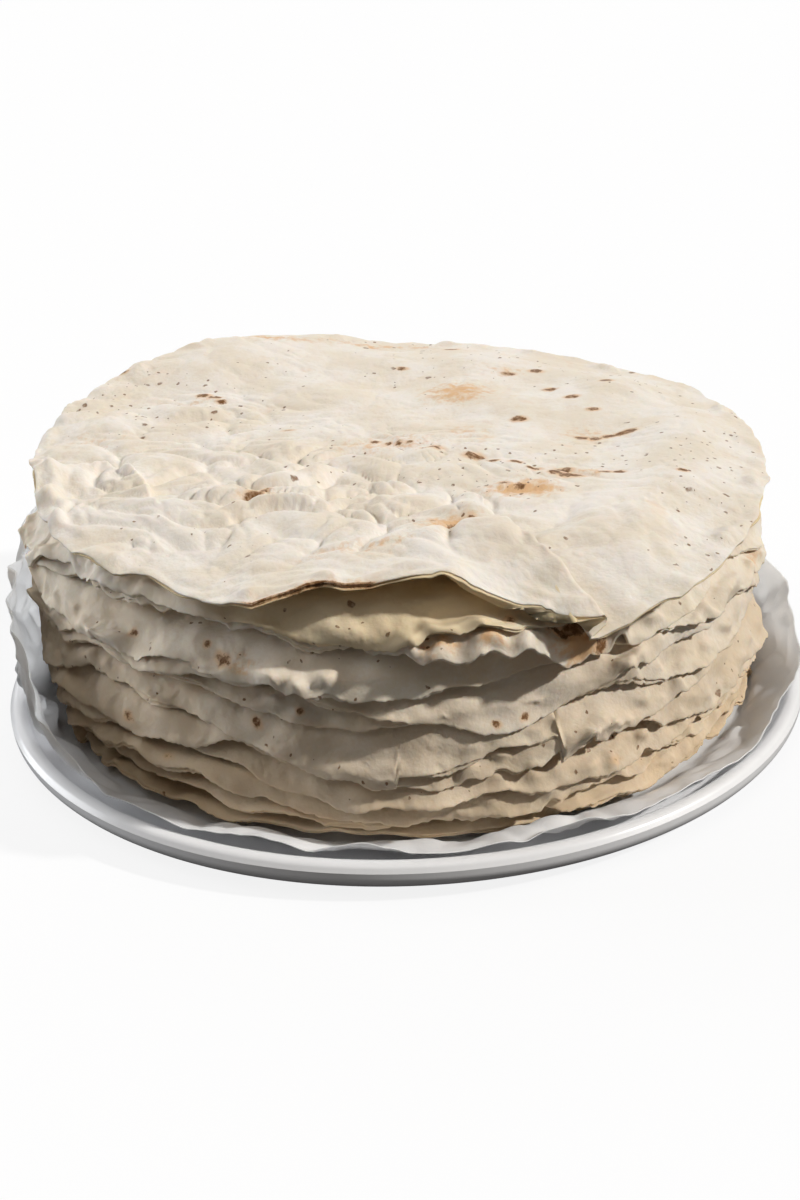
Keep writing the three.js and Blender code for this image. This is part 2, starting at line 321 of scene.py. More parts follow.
# %% Thickness and relief of a rim
LEAF = 0.8 * MM
STIFF_ROUND, STIFF_OUT = 5.0, 3.0
REACH_LIMIT = 17 * MM
SHEET_SHIFT = 0.137  # moves each bread's place in the patterns, so that no two match
DENT = noise_field(11, 0.034)
DIMPLE = noise_field(12, 0.012)
PUFF = noise_field(13, 0.016, 0.4)
EAR_SIDE = 1 - smooth_step(30, 50, np.abs(BEARINGS + 170))
LIT_SIDE = between(*np.degrees([-1.6, -0.9, 1.2, 2.0]))
FAR_LEFT = 1 - smooth_step(*np.degrees([-2.5, -2.2]), BEARINGS)
RIM_PUFFS = [  # bread, bearing, distance in from the edge, width, height along the sheet, swell
    (11, -87, 6, 13, 5, 5.0), (11, -81, 7, 8, 4, 4.0), (10, -98, 7, 9, 6, 5.0),
    (10, -88, 8, 13, 7, 7.5), (10, -80, 8, 10, 7, 7.0), (10, -74, 8, 8, 7, 7.0),
    (10, -66, 9, 13, 9, 7.0), (10, -60, 7, 8, 6, 6.0), (9, -106, 6, 15, 5, 5.5),
    (9, -100, 8, 8, 5, 3.5), (9, -140, 6, 14, 5, 4.0), (10, -146, 7, 12, 6, 4.5),
    (8, -58, 6, 12, 5, 4.5), (7, -58, 8, 14, 7, 5.0), (6, -66, 7, 9, 5, 4.0),
    (5, -62, 7, 14, 7, 5.0), (4, -68, 6, 12, 5, 4.0), (3, -70, 6, 10, 5, 3.5),
    (11, -160, 6, 10, 5, 3.0), (9, -165, 6, 9, 6, 5.0), (10, -171, 7, 9, 7, 4.5),
    (9, -176, 7, 10, 7, 5.0), (8, -168, 6, 10, 6, 5.0), (7, -161, 6, 10, 5, 4.0),
]


def parted_leaves(number):
    """How far the two leaves of a bread stand apart at its edge, round the bread."""
    return np.clip(0.3 + 0.6 * bread_wave(number, 4, 3, 14), 0.1, 2.0) * MM


def crimp(number):
    """Where round the bread its edge is pinched into puffs, from 0 to 1."""
    wave = bread_wave(number, 8, 1, 5)
    return np.clip(0.2 + 0.35 * wave + 0.75 * LIT_SIDE + 0.6 * FAR_LEFT, 0, 1)


def set_puffs(number, from_edge):
    """Swollen places near a rim that are listed, in millimetres."""
    swell = np.zeros_like(from_edge)
    for bread, bearing, inward, wide, deep, height in RIM_PUFFS:
        if bread == number:
            round_it = (turn_from(bearing)[:, None] * TURN_RADIUS / (wide * MM)) ** 2
            in_from_it = ((from_edge - inward * MM) / (deep * MM)) ** 2
            swell = np.maximum(swell, height * np.exp(-round_it - in_from_it))
    return swell


def rim_relief(number, length, end):
    """Height of a bread's own relief, over the smooth line that it was laid on."""
    shift = SHEET_SHIFT * number
    x = length * np.cos(ANGLES)[:, None] + shift
    y = length * np.sin(ANGLES)[:, None] - 1.7 * shift
    outer = smooth_step(-34 * MM, -14 * MM, length - TURN_RADIUS)
    from_edge = end[:, None] - length
    dents = 0.55 * sample(DENT, x, y) + 0.1 * sample(DIMPLE, x, y)
    row = np.exp(-((from_edge - 7 * MM) / (5 * MM)) ** 2)
    puffs = 1.7 * np.clip(sample(PUFF, x, y) + 0.35, 0, 2.2)
    lift = 0.7 + 0.7 * bread_wave(number, 9, 4, 22)
    curl = np.clip(smooth_step(7 * MM, 0, from_edge) ** 2 * lift[:, None], -0.2, 2)
    at_left = np.clip(bread_wave(number, 12, 8, 20), 0, 2) * EAR_SIDE
    ears = np.exp(-((from_edge - 5 * MM) / (6 * MM)) ** 2) * at_left[:, None]
    crimped = row * puffs * crimp(number)[:, None] + curl + 2.2 * ears
    swollen = set_puffs(number, from_edge) * (0.85 + 0.25 * sample(PUFF, x, y))
    return outer * (dents + soft_max(crimped, swollen, 0.6)) * MM


# %% Lay the pile
def jutting(number):
    """Where the tenth bread sticks out from under the two above it, from 0 to 1."""
    return np.exp(-(turn_from(-79) / math.radians(9)) ** 2) * (number == 10)


def lay_bread(number, below):
    """The upper face of a bread on the pile so far, as above(across) for every bearing."""
    level = PILE_BOTTOM + number * PITCH - LAY_GAP
    turn = TURN_RADIUS + (7.0 + 1.6 * bread_wave(number, 5, 2, 6) + 3 * jutting(number)) * MM
    lean = np.clip(0.12 + 0.14 * bread_wave(number, 6, 2, 9), 0.02, 0.9)
    lean = lean + 0.55 * jutting(number)
    line = hanging_line(level, turn, lean, 8 * MM)
    hang = smooth_step(0, 16 * MM, length_along(line) - turn[:, None])
    scallop = 1.3 * bread_wave(number, 7, 10, 26) * MM
    line = line + hang * scallop[:, None]
    support = np.maximum(blur(below, STIFF_ROUND, STIFF_OUT), below)
    thick = 2 * LEAF + parted_leaves(number) + LAY_GAP
    line = soft_max(line, support + thick[:, None] * steepness(support), 1.6 * MM)
    line = blur(line, 3.0, 2.2)
    return level, line


def steepness(line):
    """How much longer an upright step in the page is than the thickness that it stands for."""
    return np.sqrt(1 + np.clip(np.gradient(line, STEP, axis=1), -1.5, 1.5) ** 2)


def end_of_line(number, line, level):
    """Where along the sheet its line has come down by its drop, or has reached too far."""
    radius, height = from_page(ACROSS, line)
    limit = TURN_RADIUS + REACH_LIMIT + 2 * MM * ring_wave(int(level / MM), 2, 11, ANGLES)
    limit = limit + 8 * MM * jutting(number)
    lowest = level - edge_drop(number)
    keep = (height > lowest[:, None]) & (radius < limit[:, None])
    last = ACROSS.size - 1 - np.argmax(keep[:, ::-1], axis=1)
    end = length_along(line)[np.arange(ROUNDS), last]
    return np.clip(end, TURN_RADIUS + 7 * MM, TURN_RADIUS + 48 * MM)


below = ACROSS[None, :] + np.full((ROUNDS, 1), (PILE_BOTTOM - LAY_GAP) / ROOT_HALF)
laid = {}
for number in range(1, 12):
    level, line = lay_bread(number, below)
    end = end_of_line(number, line, level)
    steep = steepness(line)
    line = line + rim_relief(number, length_along(line), end) * steep
    line = np.maximum(line, below + (2 * LEAF + 0.2 * MM) * steep)
    covered = length_along(line) <= end[:, None]
    laid[number] = (line, end, below)
    below = np.where(covered, line, below)
    reach = float(from_page(ACROSS, line)[0][covered].max())
    print("bread", number, "reaches", round(reach / MM), "mm")
pile_reach, pile_z = from_page(ACROSS, below)
pile_reach = np.maximum.accumulate(pile_reach, axis=1)

# %% [markdown]
# ## From rings to a closed mesh
#
# Every round piece here is made the same way: a stack of closed rings that starts at the middle of
# the upper side, goes out, round the edge, and back to the middle of the underside. A single point
# closes each end. The rings are plain arrays, so the whole mesh is filled in at once, which is much
# quicker than adding faces one by one. Each piece also carries two maps: one that spreads it flat
# without overlaps, for anything that has to be stored on the surface, and one that gives every
# point its place on the flat sheet, so that a pattern bends with the dough.

# %% Rings to mesh
UPPER_DISC = (0.41, 0.59, 0.40)  # middle and radius in the map
UNDER_DISC = (0.85, 0.15, 0.145)


def spun(radius, angles, *height):
    """Points round the axis: flat ones, or solid ones where a height is given."""
    return np.stack([radius * np.cos(angles), radius * np.sin(angles), *height], axis=-1)


def disc_map(length, angles, upper_rings):
    """Two discs side by side: the upper side large, the underside small."""
    discs = []
    halves = (length[:upper_rings], UPPER_DISC), (length[upper_rings:], UNDER_DISC)
    for part, (x, y, size) in halves:
        discs.append(spun(size * part / part.max(), angles) + (x, y))
    return np.concatenate(discs)


def ring_faces(rings, rounds):
    """Quads between neighbouring rings, and the two fans that close the ends."""
    ring = np.arange(rings - 1)[:, None] * rounds
    here = np.arange(rounds)[None, :]
    after = (here + 1) % rounds
    quads = [ring + here, ring + rounds + here, ring + rounds + after, ring + after]
    top, bottom = rings * rounds, rings * rounds + 1
    last = (rings - 1) * rounds
    first_fan = np.stack([np.full(rounds, top), here[0], after[0]], axis=-1)
    last_fan = np.stack([np.full(rounds, bottom), last + after[0], last + here[0]], axis=-1)
    return np.stack(quads, axis=-1).reshape(-1, 4), np.concatenate([first_fan, last_fan])


def with_ends(grid, width):
    """The points of a grid in one list, followed by one point for each closed end."""
    flat = grid.reshape(len(grid), -1, width)
    ends = np.stack([flat[0].mean(axis=0), flat[-1].mean(axis=0)])
    return np.concatenate([flat.reshape(-1, width), ends]).astype(np.float32)


def grid_mesh(name, rings, layout, flat, values, material):
    """A closed mesh from rings of points (ring, bearing, xyz), with its maps and named values."""
    points = with_ends(rings, 3)
    quads, fans = ring_faces(*rings.shape[:2])
    corners_of = np.concatenate([quads.ravel(), fans.ravel()]).astype(np.int32)
    sizes = np.concatenate([np.full(len(quads), 4), np.full(len(fans), 3)])
    starts = np.concatenate([[0], np.cumsum(sizes)[:-1]]).astype(np.int32)
    mesh = bpy.data.meshes.new(name)
    mesh.vertices.add(len(points))
    mesh.vertices.foreach_set("co", points.ravel())
    mesh.loops.add(len(corners_of))
    mesh.loops.foreach_set("vertex_index", corners_of)
    mesh.polygons.add(len(sizes))
    mesh.polygons.foreach_set("loop_start", starts)
    mesh.update(calc_edges=True)
    mesh.polygons.foreach_set("use_smooth", np.ones(len(sizes), dtype=bool))
    for map_name, grid in (("OFBake", layout), ("Sheet", flat)):
        per_corner = with_ends(grid, 2)[corners_of].ravel()
        mesh.uv_layers.new(name=map_name).data.foreach_set("uv", per_corner)
    for value_name, grid in values.items():
        attribute = mesh.attributes.new(value_name, "FLOAT", "POINT")
        attribute.data.foreach_set("value", with_ends(grid, 1).ravel())
    mesh.materials.append(material)
    return new_object(name, mesh)


def place(piece, node, slot):
    """Every piece here rides on the one body and stands for one solid."""
    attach(piece, "root")
    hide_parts(node)


# %% [markdown]
# ## Shader tools
#
# A material is a small graph of nodes. Three helpers keep such graphs short to write: one adds a
# node and wires its inputs, one does arithmetic, and one mixes two colours. An effect that several
# finishes share becomes a node group with named sockets, built once.

# %% Helpers for node graphs
def set_inputs(made, inputs):
    """An input is either a socket to link from or a plain value."""
    for key, value in inputs.items():
        if isinstance(value, bpy.types.NodeSocket):
            made.id_data.links.new(value, made.inputs[key])
        else:
            made.inputs[key].default_value = value


def node(tree, kind, inputs=None, **settings):
    made = tree.nodes.new(kind)
    for key, value in settings.items():
        setattr(made, key, value)
    set_inputs(made, inputs or {})
    return made


def maths(tree, operation, first, second=0.0):
    return node(tree, "ShaderNodeMath", {0: first, 1: second}, operation=operation).outputs[0]


def times(tree, first, second):
    return maths(tree, "MULTIPLY", first, second)


def plus(tree, first, second):
    return maths(tree, "ADD", first, second)


def largest(tree, first, *others):
    for other in others:
        first = maths(tree, "MAXIMUM", first, other)
    return first


def ramp(tree, value, low, high, to_low=0.0, to_high=1.0):
    """Smoothly maps a value between two limits."""
    limits = {"Value": value, "From Min": low, "From Max": high}
    limits = {**limits, "To Min": to_low, "To Max": to_high}
    made = node(tree, "ShaderNodeMapRange", limits, interpolation_type="SMOOTHSTEP")
    return made.outputs["Result"]


def blend(tree, share, under, over, mode="MIX"):
    inputs = {0: share, 6: under, 7: over}
    return node(tree, "ShaderNodeMix", inputs, data_type="RGBA", blend_type=mode).outputs[2]


def noise(tree, place, scale, detail=2.0, rough=0.5, output="Fac"):
    inputs = {"Vector": place, "Scale": scale, "Detail": detail, "Roughness": rough}
    return node(tree, "ShaderNodeTexNoise", inputs).outputs[output]


def value_of(tree, name):
    """A value that the mesh holds for each of its points."""
    return node(tree, "ShaderNodeAttribute", attribute_name=name).outputs["Fac"]


def new_group(name, inputs, outputs):
    """An empty node group with named sockets: inputs have a kind and a usual value."""
    group = bpy.data.node_groups.new(name, "ShaderNodeTree")
    for socket, kind, usual in inputs:
        kind = f"NodeSocket{kind}"
        made = group.interface.new_socket(socket, in_out="INPUT", socket_type=kind)
        if usual is not None:
            made.default_value = usual
    for socket, kind in outputs:
        group.interface.new_socket(socket, in_out="OUTPUT", socket_type=f"NodeSocket{kind}")
    given, give = group.nodes.new("NodeGroupInput"), group.nodes.new("NodeGroupOutput")
    return group, given.outputs, give.inputs


def use(tree, group, inputs):
    return node(tree, "ShaderNodeGroup", inputs, node_tree=group).outputs


def new_material(name):
    """A material with one surface, and the place of every point on the flat sheet."""
    material = bpy.data.materials.new(name)
    material.use_nodes = True
    tree = material.node_tree
    sheet = node(tree, "ShaderNodeUVMap", uv_map="Sheet").outputs["UV"]
    return material, tree, tree.nodes["Principled BSDF"], sheet


def relief(tree, height):
    """A normal from a height in metres."""
    inputs = {"Strength": 1.0, "Distance": 1.0, "Height": height}
    return node(tree, "ShaderNodeBump", inputs).outputs["Normal"]


# %% [markdown]
# ### Flour and dough
#
# Pale crust isn't one colour. Flour lies on it in clouds a few centimetres wide, the dough between
# is creamier, and thin places are a little yellow. Two noises of different widths make the clouds
# and the thin places, and a third, very fine one gives the grain of the flour itself.

# %% Group: floured dough
dough, given, give = new_group(
    "floured dough",
    [("Sheet", "Vector", None), ("Flour", "Float", 0.5), ("Dough", "Color", (0.8, 0.7, 0.57, 1)),
     ("Flour Colour", "Color", (0.9, 0.87, 0.82, 1)),
     ("Thin Colour", "Color", (0.8, 0.69, 0.5, 1))],
    [("Color", "Color"), ("Roughness", "Float")],
)
clouds = noise(dough, given["Sheet"], 26, 4, 0.55)
thin = ramp(dough, noise(dough, given["Sheet"], 13, 3, 0.5), 0.52, 0.72)
grain = noise(dough, given["Sheet"], 620, 3, 0.6)
floured = times(dough, ramp(dough, clouds, 0.34, 0.66), given["Flour"])
floured = plus(dough, floured, ramp(dough, grain, 0.3, 0.75, -0.12, 0.16))
floured = ramp(dough, floured, 0.0, 0.9)
base = blend(dough, times(dough, thin, 0.55), given["Dough"], given["Thin Colour"])
dough.links.new(blend(dough, floured, base, given["Flour Colour"]), give["Color"])
dough.links.new(ramp(dough, floured, 0, 1, 0.72, 0.92), give["Roughness"])

# %% [markdown]
# ### Marks of the hot plate
#
# Where the dough touched the hot plate it browned. There are two kinds of mark. Soft tan clouds
# come from gentle heat, and small dark spots come from blisters that stood proud and burnt. A mark
# has a ragged outline and is darkest at its rim. Some marks are given as values on the mesh;
# the many small ones are scattered by a cell pattern, in which only some cells, chosen by their own
# random colour, carry a spot.

# %% Group: plate marks
marks, given, give = new_group(
    "plate marks",
    [("Color", "Color", (1, 1, 1, 1)), ("Sheet", "Vector", None), ("Toast", "Float", 0.0),
     ("Char", "Float", 0.0), ("Speckle", "Float", 0.5),
     ("Tan Colour", "Color", (0.72, 0.44, 0.22, 1)),
     ("Brown Colour", "Color", (0.19, 0.085, 0.028, 1))],
    [("Color", "Color"), ("Burnt", "Float")],
)
SHAKE = 0.0035  # metres that a spot's outline wanders


def vector_maths(tree, operation, inputs):
    return node(tree, "ShaderNodeVectorMath", inputs, operation=operation).outputs[0]


def scattered(tree, place, cells_per_metre, size, share):
    """Spots in some of the cells: strongest at the middle of a spot."""
    inputs = {"Vector": place, "Scale": cells_per_metre}
    cells = node(tree, "ShaderNodeTexVoronoi", inputs, voronoi_dimensions="2D").outputs
    chance = node(tree, "ShaderNodeSeparateColor", {0: cells["Color"]}).outputs
    radius = times(tree, ramp(tree, chance[1], 0, 1, 0.35, 1.0), size)
    spot = ramp(tree, maths(tree, "DIVIDE", cells["Distance"], radius), 0.55, 1.0, 1.0, 0.0)
    return times(tree, spot, maths(tree, "GREATER_THAN", share, chance[0]))


sheet = given["Sheet"]
wobble = noise(marks, sheet, 260.0, output="Color")
shaken = vector_maths(marks, "ADD", {0: wobble, 1: (-0.5, -0.5, -0.5)})
shaken = vector_maths(marks, "SCALE", {0: shaken, "Scale": SHAKE})
shaken = vector_maths(marks, "ADD", {0: sheet, 1: shaken})
few = times(marks, given["Speckle"], ramp(marks, noise(marks, sheet, 9, 2, 0.5), 0.42, 0.66))
few = times(marks, few, 0.34)
specks = scattered(marks, shaken, 190.0, 0.2, few)
spots = scattered(marks, shaken, 62.0, 0.13, few)
tan_cloud = ramp(marks, noise(marks, sheet, 34, 4, 0.6), 0.6, 0.78, 0.0, 0.4)
tan_cloud = times(marks, tan_cloud, given["Speckle"])
ragged = noise(marks, sheet, 190, 4, 0.65)
set_tan = plus(marks, given["Toast"], ramp(marks, ragged, 0.3, 0.7, -0.34, 0.22))
set_tan = times(marks, ramp(marks, set_tan, 0.08, 0.8), 0.9)
set_char = plus(marks, given["Char"], ramp(marks, ragged, 0.25, 0.75, -0.32, 0.32))
set_char = ramp(marks, set_char, 0.42, 0.72)
halo = ramp(marks, given["Char"], 0.06, 0.6, 0.0, 0.65)
tan = largest(marks, tan_cloud, set_tan, halo)
burnt = largest(marks, set_char, times(marks, specks, 0.9), times(marks, spots, 0.85))
uneven = ramp(marks, noise(marks, sheet, 420, 2, 0.5), 0.25, 0.6, 0.45, 1.0)
burnt = times(marks, burnt, uneven)
toasted = blend(marks, tan, given["Color"], given["Tan Colour"])
marks.links.new(blend(marks, burnt, toasted, given["Brown Colour"]), give["Color"])
marks.links.new(burnt, give["Burnt"])

# %% [markdown]
# ### Skin of the bread
#
# The relief that can be seen from across a table is in the mesh. What is left is the skin: pores
# and tiny bubbles under two millimetres, and flour. They go into one bump, in metres, so that the
# same group serves every bread.

# %% Group: bread skin
skin, given, give = new_group(
    "bread skin", [("Sheet", "Vector", None), ("Depth", "Float", 1.0)], [("Height", "Float")],
)
sheet = given["Sheet"]
inputs = {"Vector": sheet, "Scale": 210.0, "Smoothness": 0.7}
bubbles = node(skin, "ShaderNodeTexVoronoi", inputs, feature="SMOOTH_F1").outputs["Distance"]
patchy = ramp(skin, noise(skin, sheet, 30, 2, 0.5), 0.45, 0.65, 0.15, 1.0)
bubbles = times(skin, ramp(skin, bubbles, 0.1, 0.6, 1.0, 0.0), patchy)
height = times(skin, bubbles, 0.00022)
height = plus(skin, height, times(skin, noise(skin, sheet, 480, 4, 0.6), 0.00016))
height = plus(skin, height, times(skin, noise(skin, sheet, 90, 3, 0.55), 0.0007))
skin.links.new(times(skin, height, given["Depth"]), give["Height"])


# %% Finish: bread crust
OCHRE = (0.74, 0.57, 0.31, 1)
RIM_TAN = (0.72, 0.5, 0.28, 1)
PAINTED_LOW_SHADE = (0.74, 0.62, 0.47, 1)  # painted shade: darkens and warms the lower breads, for the shade low in the pile


def crust(name, speckle, flour, dough_colour, flour_colour, depth):
    """Floured dough browned by the hot plate, ochre where torn open and where warm shade is
    painted.
    """
    material, tree, surface, sheet = new_material(name)
    plain = use(tree, dough, {"Sheet": sheet, "Flour": flour, "Dough": dough_colour,
                              "Flour Colour": flour_colour})
    # ochre: the inner side where a rim is torn open, and painted warm shade under the lifted top
    # and beside its fold
    opened_and_shaded = blend(tree, times(tree, value_of(tree, "inner_side_and_shade"), 0.75), plain["Color"], OCHRE)
    rim_tan = ramp(tree, noise(tree, sheet, 45, 3), 0.5, 0.75, 0.0, 0.16)
    rim_tan = times(tree, ramp(tree, value_of(tree, "edge"), 0.5, 1.0), rim_tan)
    rimmed = blend(tree, rim_tan, opened_and_shaded, RIM_TAN)
    # painted shade: each lower bread's colour is darkened and warmed by how low in the pile it lies
    rimmed = blend(tree, value_of(tree, "low"), rimmed, PAINTED_LOW_SHADE, "MULTIPLY")
    browned = use(tree, marks, {"Color": rimmed, "Sheet": sheet, "Speckle": speckle,
                                "Toast": value_of(tree, "toast"), "Char": value_of(tree, "char")})
    shine = times(tree, browned["Burnt"], 0.25)
    height = use(tree, skin, {"Sheet": sheet, "Depth": depth})["Height"]
    set_inputs(surface, {
        "Base Color": browned["Color"], "Normal": relief(tree, height),
        "Roughness": maths(tree, "SUBTRACT", plain["Roughness"], shine),
        "Specular IOR Level": 0.25, "Subsurface Weight": 0.18,
        "Subsurface Radius": (1.0, 0.55, 0.25), "Subsurface Scale": 0.0025,
    })
    return material


# painted light in the crust colours: the lower breads' lighter and warmer for their shaded sides,
# the top's darker and cooler for its lit face; their marks and flour differ for real
bread_crust = crust(
    "bread_crust", 0.5, 0.6, (0.82, 0.72, 0.585, 1), (0.885, 0.825, 0.74, 1), 1.2)
top_crust = crust(
    "top_crust", 0.95, 0.85, (0.79, 0.705, 0.59, 1), (0.845, 0.79, 0.725, 1), 1.8)
print("crusts:", bread_crust.name, top_crust.name)

# %% [markdown]
# ### Paper and glaze
#
# Baking parchment is thin enough to glow when light falls on its far side, so it scatters light
# under its surface. Its fibres show as a faint cloud. The glaze is smooth and white, and only its
# slow unevenness and the small pits of a fired surface keep its highlights from being perfect.

# %% Group: faint clouding
clouding, given, give = new_group(
    "faint clouding",
    [("Place", "Vector", None), ("Scale", "Float", 20.0),
     ("Light", "Color", (0.9, 0.9, 0.9, 1)), ("Dark", "Color", (0.8, 0.8, 0.8, 1)),
     ("Smooth", "Float", 0.3), ("Rough", "Float", 0.5), ("Depth", "Float", 0.0001)],
    [("Color", "Color"), ("Roughness", "Float"), ("Height", "Float")],
)
broad = noise(clouding, given["Place"], given["Scale"], 4, 0.6)
fine = noise(clouding, given["Place"], times(clouding, given["Scale"], 14), 3, 0.6)
cloud = plus(clouding, times(clouding, broad, 0.7), times(clouding, fine, 0.3))
cloud = ramp(clouding, cloud, 0.3, 0.7)
spread = times(clouding, maths(clouding, "SUBTRACT", given["Rough"], given["Smooth"]), cloud)
clouding.links.new(blend(clouding, cloud, given["Dark"], given["Light"]), give["Color"])
clouding.links.new(plus(clouding, given["Smooth"], spread), give["Roughness"])
clouding.links.new(times(clouding, cloud, given["Depth"]), give["Height"])


# %% Finishes: parchment and white glaze
def clouded(name, scale, light, dark, smooth, rough, depth):
    material, tree, surface, sheet = new_material(name)
    cloud = use(tree, clouding, {"Place": sheet, "Scale": scale, "Light": light, "Dark": dark,
                                 "Smooth": smooth, "Rough": rough, "Depth": depth})
    set_inputs(surface, {"Base Color": cloud["Color"], "Roughness": cloud["Roughness"],
                         "Normal": relief(tree, cloud["Height"])})
    return material, tree, surface


parchment, tree, surface = clouded(
    "parchment", 30.0, (0.95, 0.955, 0.965, 1), (0.92, 0.925, 0.94, 1), 0.5, 0.65, 0.00012)
set_inputs(surface, {
    "Subsurface Weight": ramp(tree, value_of(tree, "standing"), 0.0, 1.0, 0.1, 1.0),
    "Subsurface Radius": (1.0, 1.0, 1.0), "Subsurface Scale": 0.008,
})
glaze, tree, surface = clouded(
    "white_glaze", 9.0, (0.92, 0.92, 0.93, 1), (0.89, 0.89, 0.905, 1), 0.28, 0.4, 0.00006)
set_inputs(surface, {"Coat Weight": 0.2, "Coat Roughness": 0.12})
print("finishes:", parchment.name, glaze.name)

# %% [markdown]
# ## Two leaves and a torn edge
#
# A bread of this kind puffs in the oven and falls flat again, so it is two leaves joined at the
# rim, and the rim tears open in places. The rings therefore go out over the upper leaf, round its
# thin edge, back into the gap between the leaves, out again along the lower leaf, and home along
# the underside. In the middle the two leaves stand apart and fill the bread's share of the pile.

# %% Rings of a bread
RIM_BAND = 48 * MM
UPPER_MIDDLE, UPPER_RIM = 7, 56
UNDER_MIDDLE, UNDER_RIM = 5, 18
EDGE_ROUND = 0.3 * MM


def spaced(end, middle_rings, rim_rings):
    """Lengths of rings: a few over the hidden middle, then close together over the rim."""
    inner = np.linspace(0.06, 1, middle_rings + 1)[:-1, None] * (end - RIM_BAND)[None, :]
    outer = (end - RIM_BAND)[None, :] + np.linspace(0, 1, rim_rings)[:, None] * RIM_BAND
    return np.concatenate([inner, outer])


def read_lines(at, known, values):
    """Reads the line of each bearing at the places of a (ring, bearing) grid."""
    known, values = np.broadcast_arrays(known, values)
    columns = [np.interp(at[:, row], known[row], values[row]) for row in range(at.shape[1])]
    return np.stack(columns, axis=1)


def torn_edge(end, lower_end, depth, parted):
    """Lengths, and depths below the upper face, round both leaves' edges and the gap between."""
    thick = 2 * LEAF + parted
    rows = [
        (end + EDGE_ROUND, 0.25 * LEAF + 0 * end),
        (end + EDGE_ROUND, 0.75 * LEAF + 0 * end),
        (end - 0.05 * depth, LEAF + 0 * end),
        (end - 0.5 * depth, LEAF + 0.1 * parted),
        (end - depth, 0.5 * thick),
        (end - 0.5 * depth, thick - LEAF - 0.1 * parted),
        (lower_end - 0.05 * depth, thick - LEAF),
        (lower_end + EDGE_ROUND, thick - 0.75 * LEAF),
        (lower_end + EDGE_ROUND, thick - 0.25 * LEAF),
    ]
    return np.array(rows).swapaxes(0, 1)


def bread_rings(number, line, end, support):
    """Points of one lower bread, their lengths along the sheet, and where its torn inner side
    shows.
    """
    parted = parted_leaves(number)
    rim_thick = 2 * LEAF + parted
    torn = smooth_step(0.1, 0.9, 0.5 + 0.6 * bread_wave(number, 10, 3, 12))
    depth = (0.6 + 5 * torn) * MM
    longer = (0.2 + 1.0 * bread_wave(number, 11, 4, 30)) * torn * MM
    lower_end = end + np.clip(longer, -3 * MM, 3 * MM)
    upper = spaced(end, UPPER_MIDDLE, UPPER_RIM)
    under = spaced(lower_end, UNDER_MIDDLE, UNDER_RIM)[::-1]
    edge_lengths, edge_in = torn_edge(end, lower_end, depth, parted)
    swell = 1 - smooth_step(-34 * MM, -8 * MM, under - TURN_RADIUS)
    under_in = rim_thick + swell * (PITCH - 0.8 * MM - rim_thick)
    lengths = np.concatenate([upper, edge_lengths, under])
    inward = np.concatenate([0 * upper, edge_in, under_in])
    across = read_lines(lengths, length_along(line), ACROSS)
    above = read_lines(across, ACROSS, line)
    tilt = blur(np.gradient(blur(line, 2, 6), STEP, axis=1), 4, 8)
    room = np.clip((line - support) / np.sqrt(1 + tilt ** 2) - LAY_GAP, 2 * LEAF, PITCH)
    room = np.maximum(read_lines(across, ACROSS, room), rim_thick)
    inward = np.where(inward > rim_thick, np.minimum(inward, room), inward)
    tilt = read_lines(across, ACROSS, tilt)
    norm = np.sqrt(1 + tilt ** 2)
    radius, height = from_page(across + inward * tilt / norm, above - inward / norm)
    inner_side_and_shade = np.zeros_like(lengths)
    inner_side_and_shade[len(upper) + 3:len(upper) + 6] = 1
    return spun(radius, ANGLES, height), lengths, inner_side_and_shade, len(upper) + 4


def flat_map(lengths, number):
    """Each point's place on the flat sheet, in metres."""
    shift = SHEET_SHIFT * number
    return spun(lengths, ANGLES) + (shift, -1.7 * shift)


# %% Marks of the hot plate on the rims
BAND_MARKS = [  # bread, bearing, distance in from the edge, width, height, toast, char; mm
    (10, -66, 8, 13, 10, 1.1, 0.25), (10, -62.6, 9, 3.5, 9, 0.9, 1.5),
    (10, -67, 17, 9, 3.5, 0.9, 1.4),
    (10, -72, 20, 5, 3, 0.6, 1.2), (10, -85, 7, 6, 4, 0.8, 0.1), (11, -68, 4, 7, 4, 0.8, 0.9),
    (9, -113, 7, 6, 5, 0.6, 0), (10, -79, 6, 7, 5, 0.7, 0), (10, -87, 7, 8, 6, 0.5, 0),
    (11, -76, 6, 3, 3, 0.3, 0.8), (9, -116, 9, 4, 3.5, 0.4, 0.95), (9, -119, 13, 2, 2, 0.2, 0.9),
    (9, -133, 10, 2.5, 2.5, 0.3, 0.8), (8, -102, 8, 3, 3, 0.5, 0.95), (7, -105, 5, 2, 2, 0.2, 0.8),
    (7, -124, 6, 3, 2.5, 0.3, 0.85), (6, -112, 10, 3, 3, 0.3, 0.8), (8, -78, 4, 2, 2, 0.3, 0.9),
    (8, -74, 4, 2, 2, 0.3, 0.9), (5, -136, 6, 4, 3, 0.5, 0.7), (4, -60, 5, 4, 3, 0.4, 0.5),
    (3, -128, 5, 4, 3, 0.4, 0.5), (9, -20, 6, 8, 5, 0.5, 0), (7, 30, 7, 6, 5, 0.7, 0.4),
    (6, 100, 8, 7, 6, 0.8, 0.6), (9, 140, 7, 5, 5, 0.5, 0.9), (4, 75, 7, 8, 6, 0.7, 0.3),
    (8, 170, 8, 4, 4, 0.4, 0.9),
]


def band_marks(number, from_edge):
    """Toast and char from the listed marks near a lower bread's edge."""
    toast, char = np.zeros_like(from_edge), np.zeros_like(from_edge)
    for bread, bearing, inward, wide, high, toasted, charred in BAND_MARKS:
        if bread == number:
            across = turn_from(bearing) * TURN_RADIUS / (wide * MM)
            spot = np.exp(-across ** 2 - ((from_edge - inward * MM) / (high * MM)) ** 2)
            toast, char = np.maximum(toast, toasted * spot), np.maximum(char, charred * spot)
    return toast, char


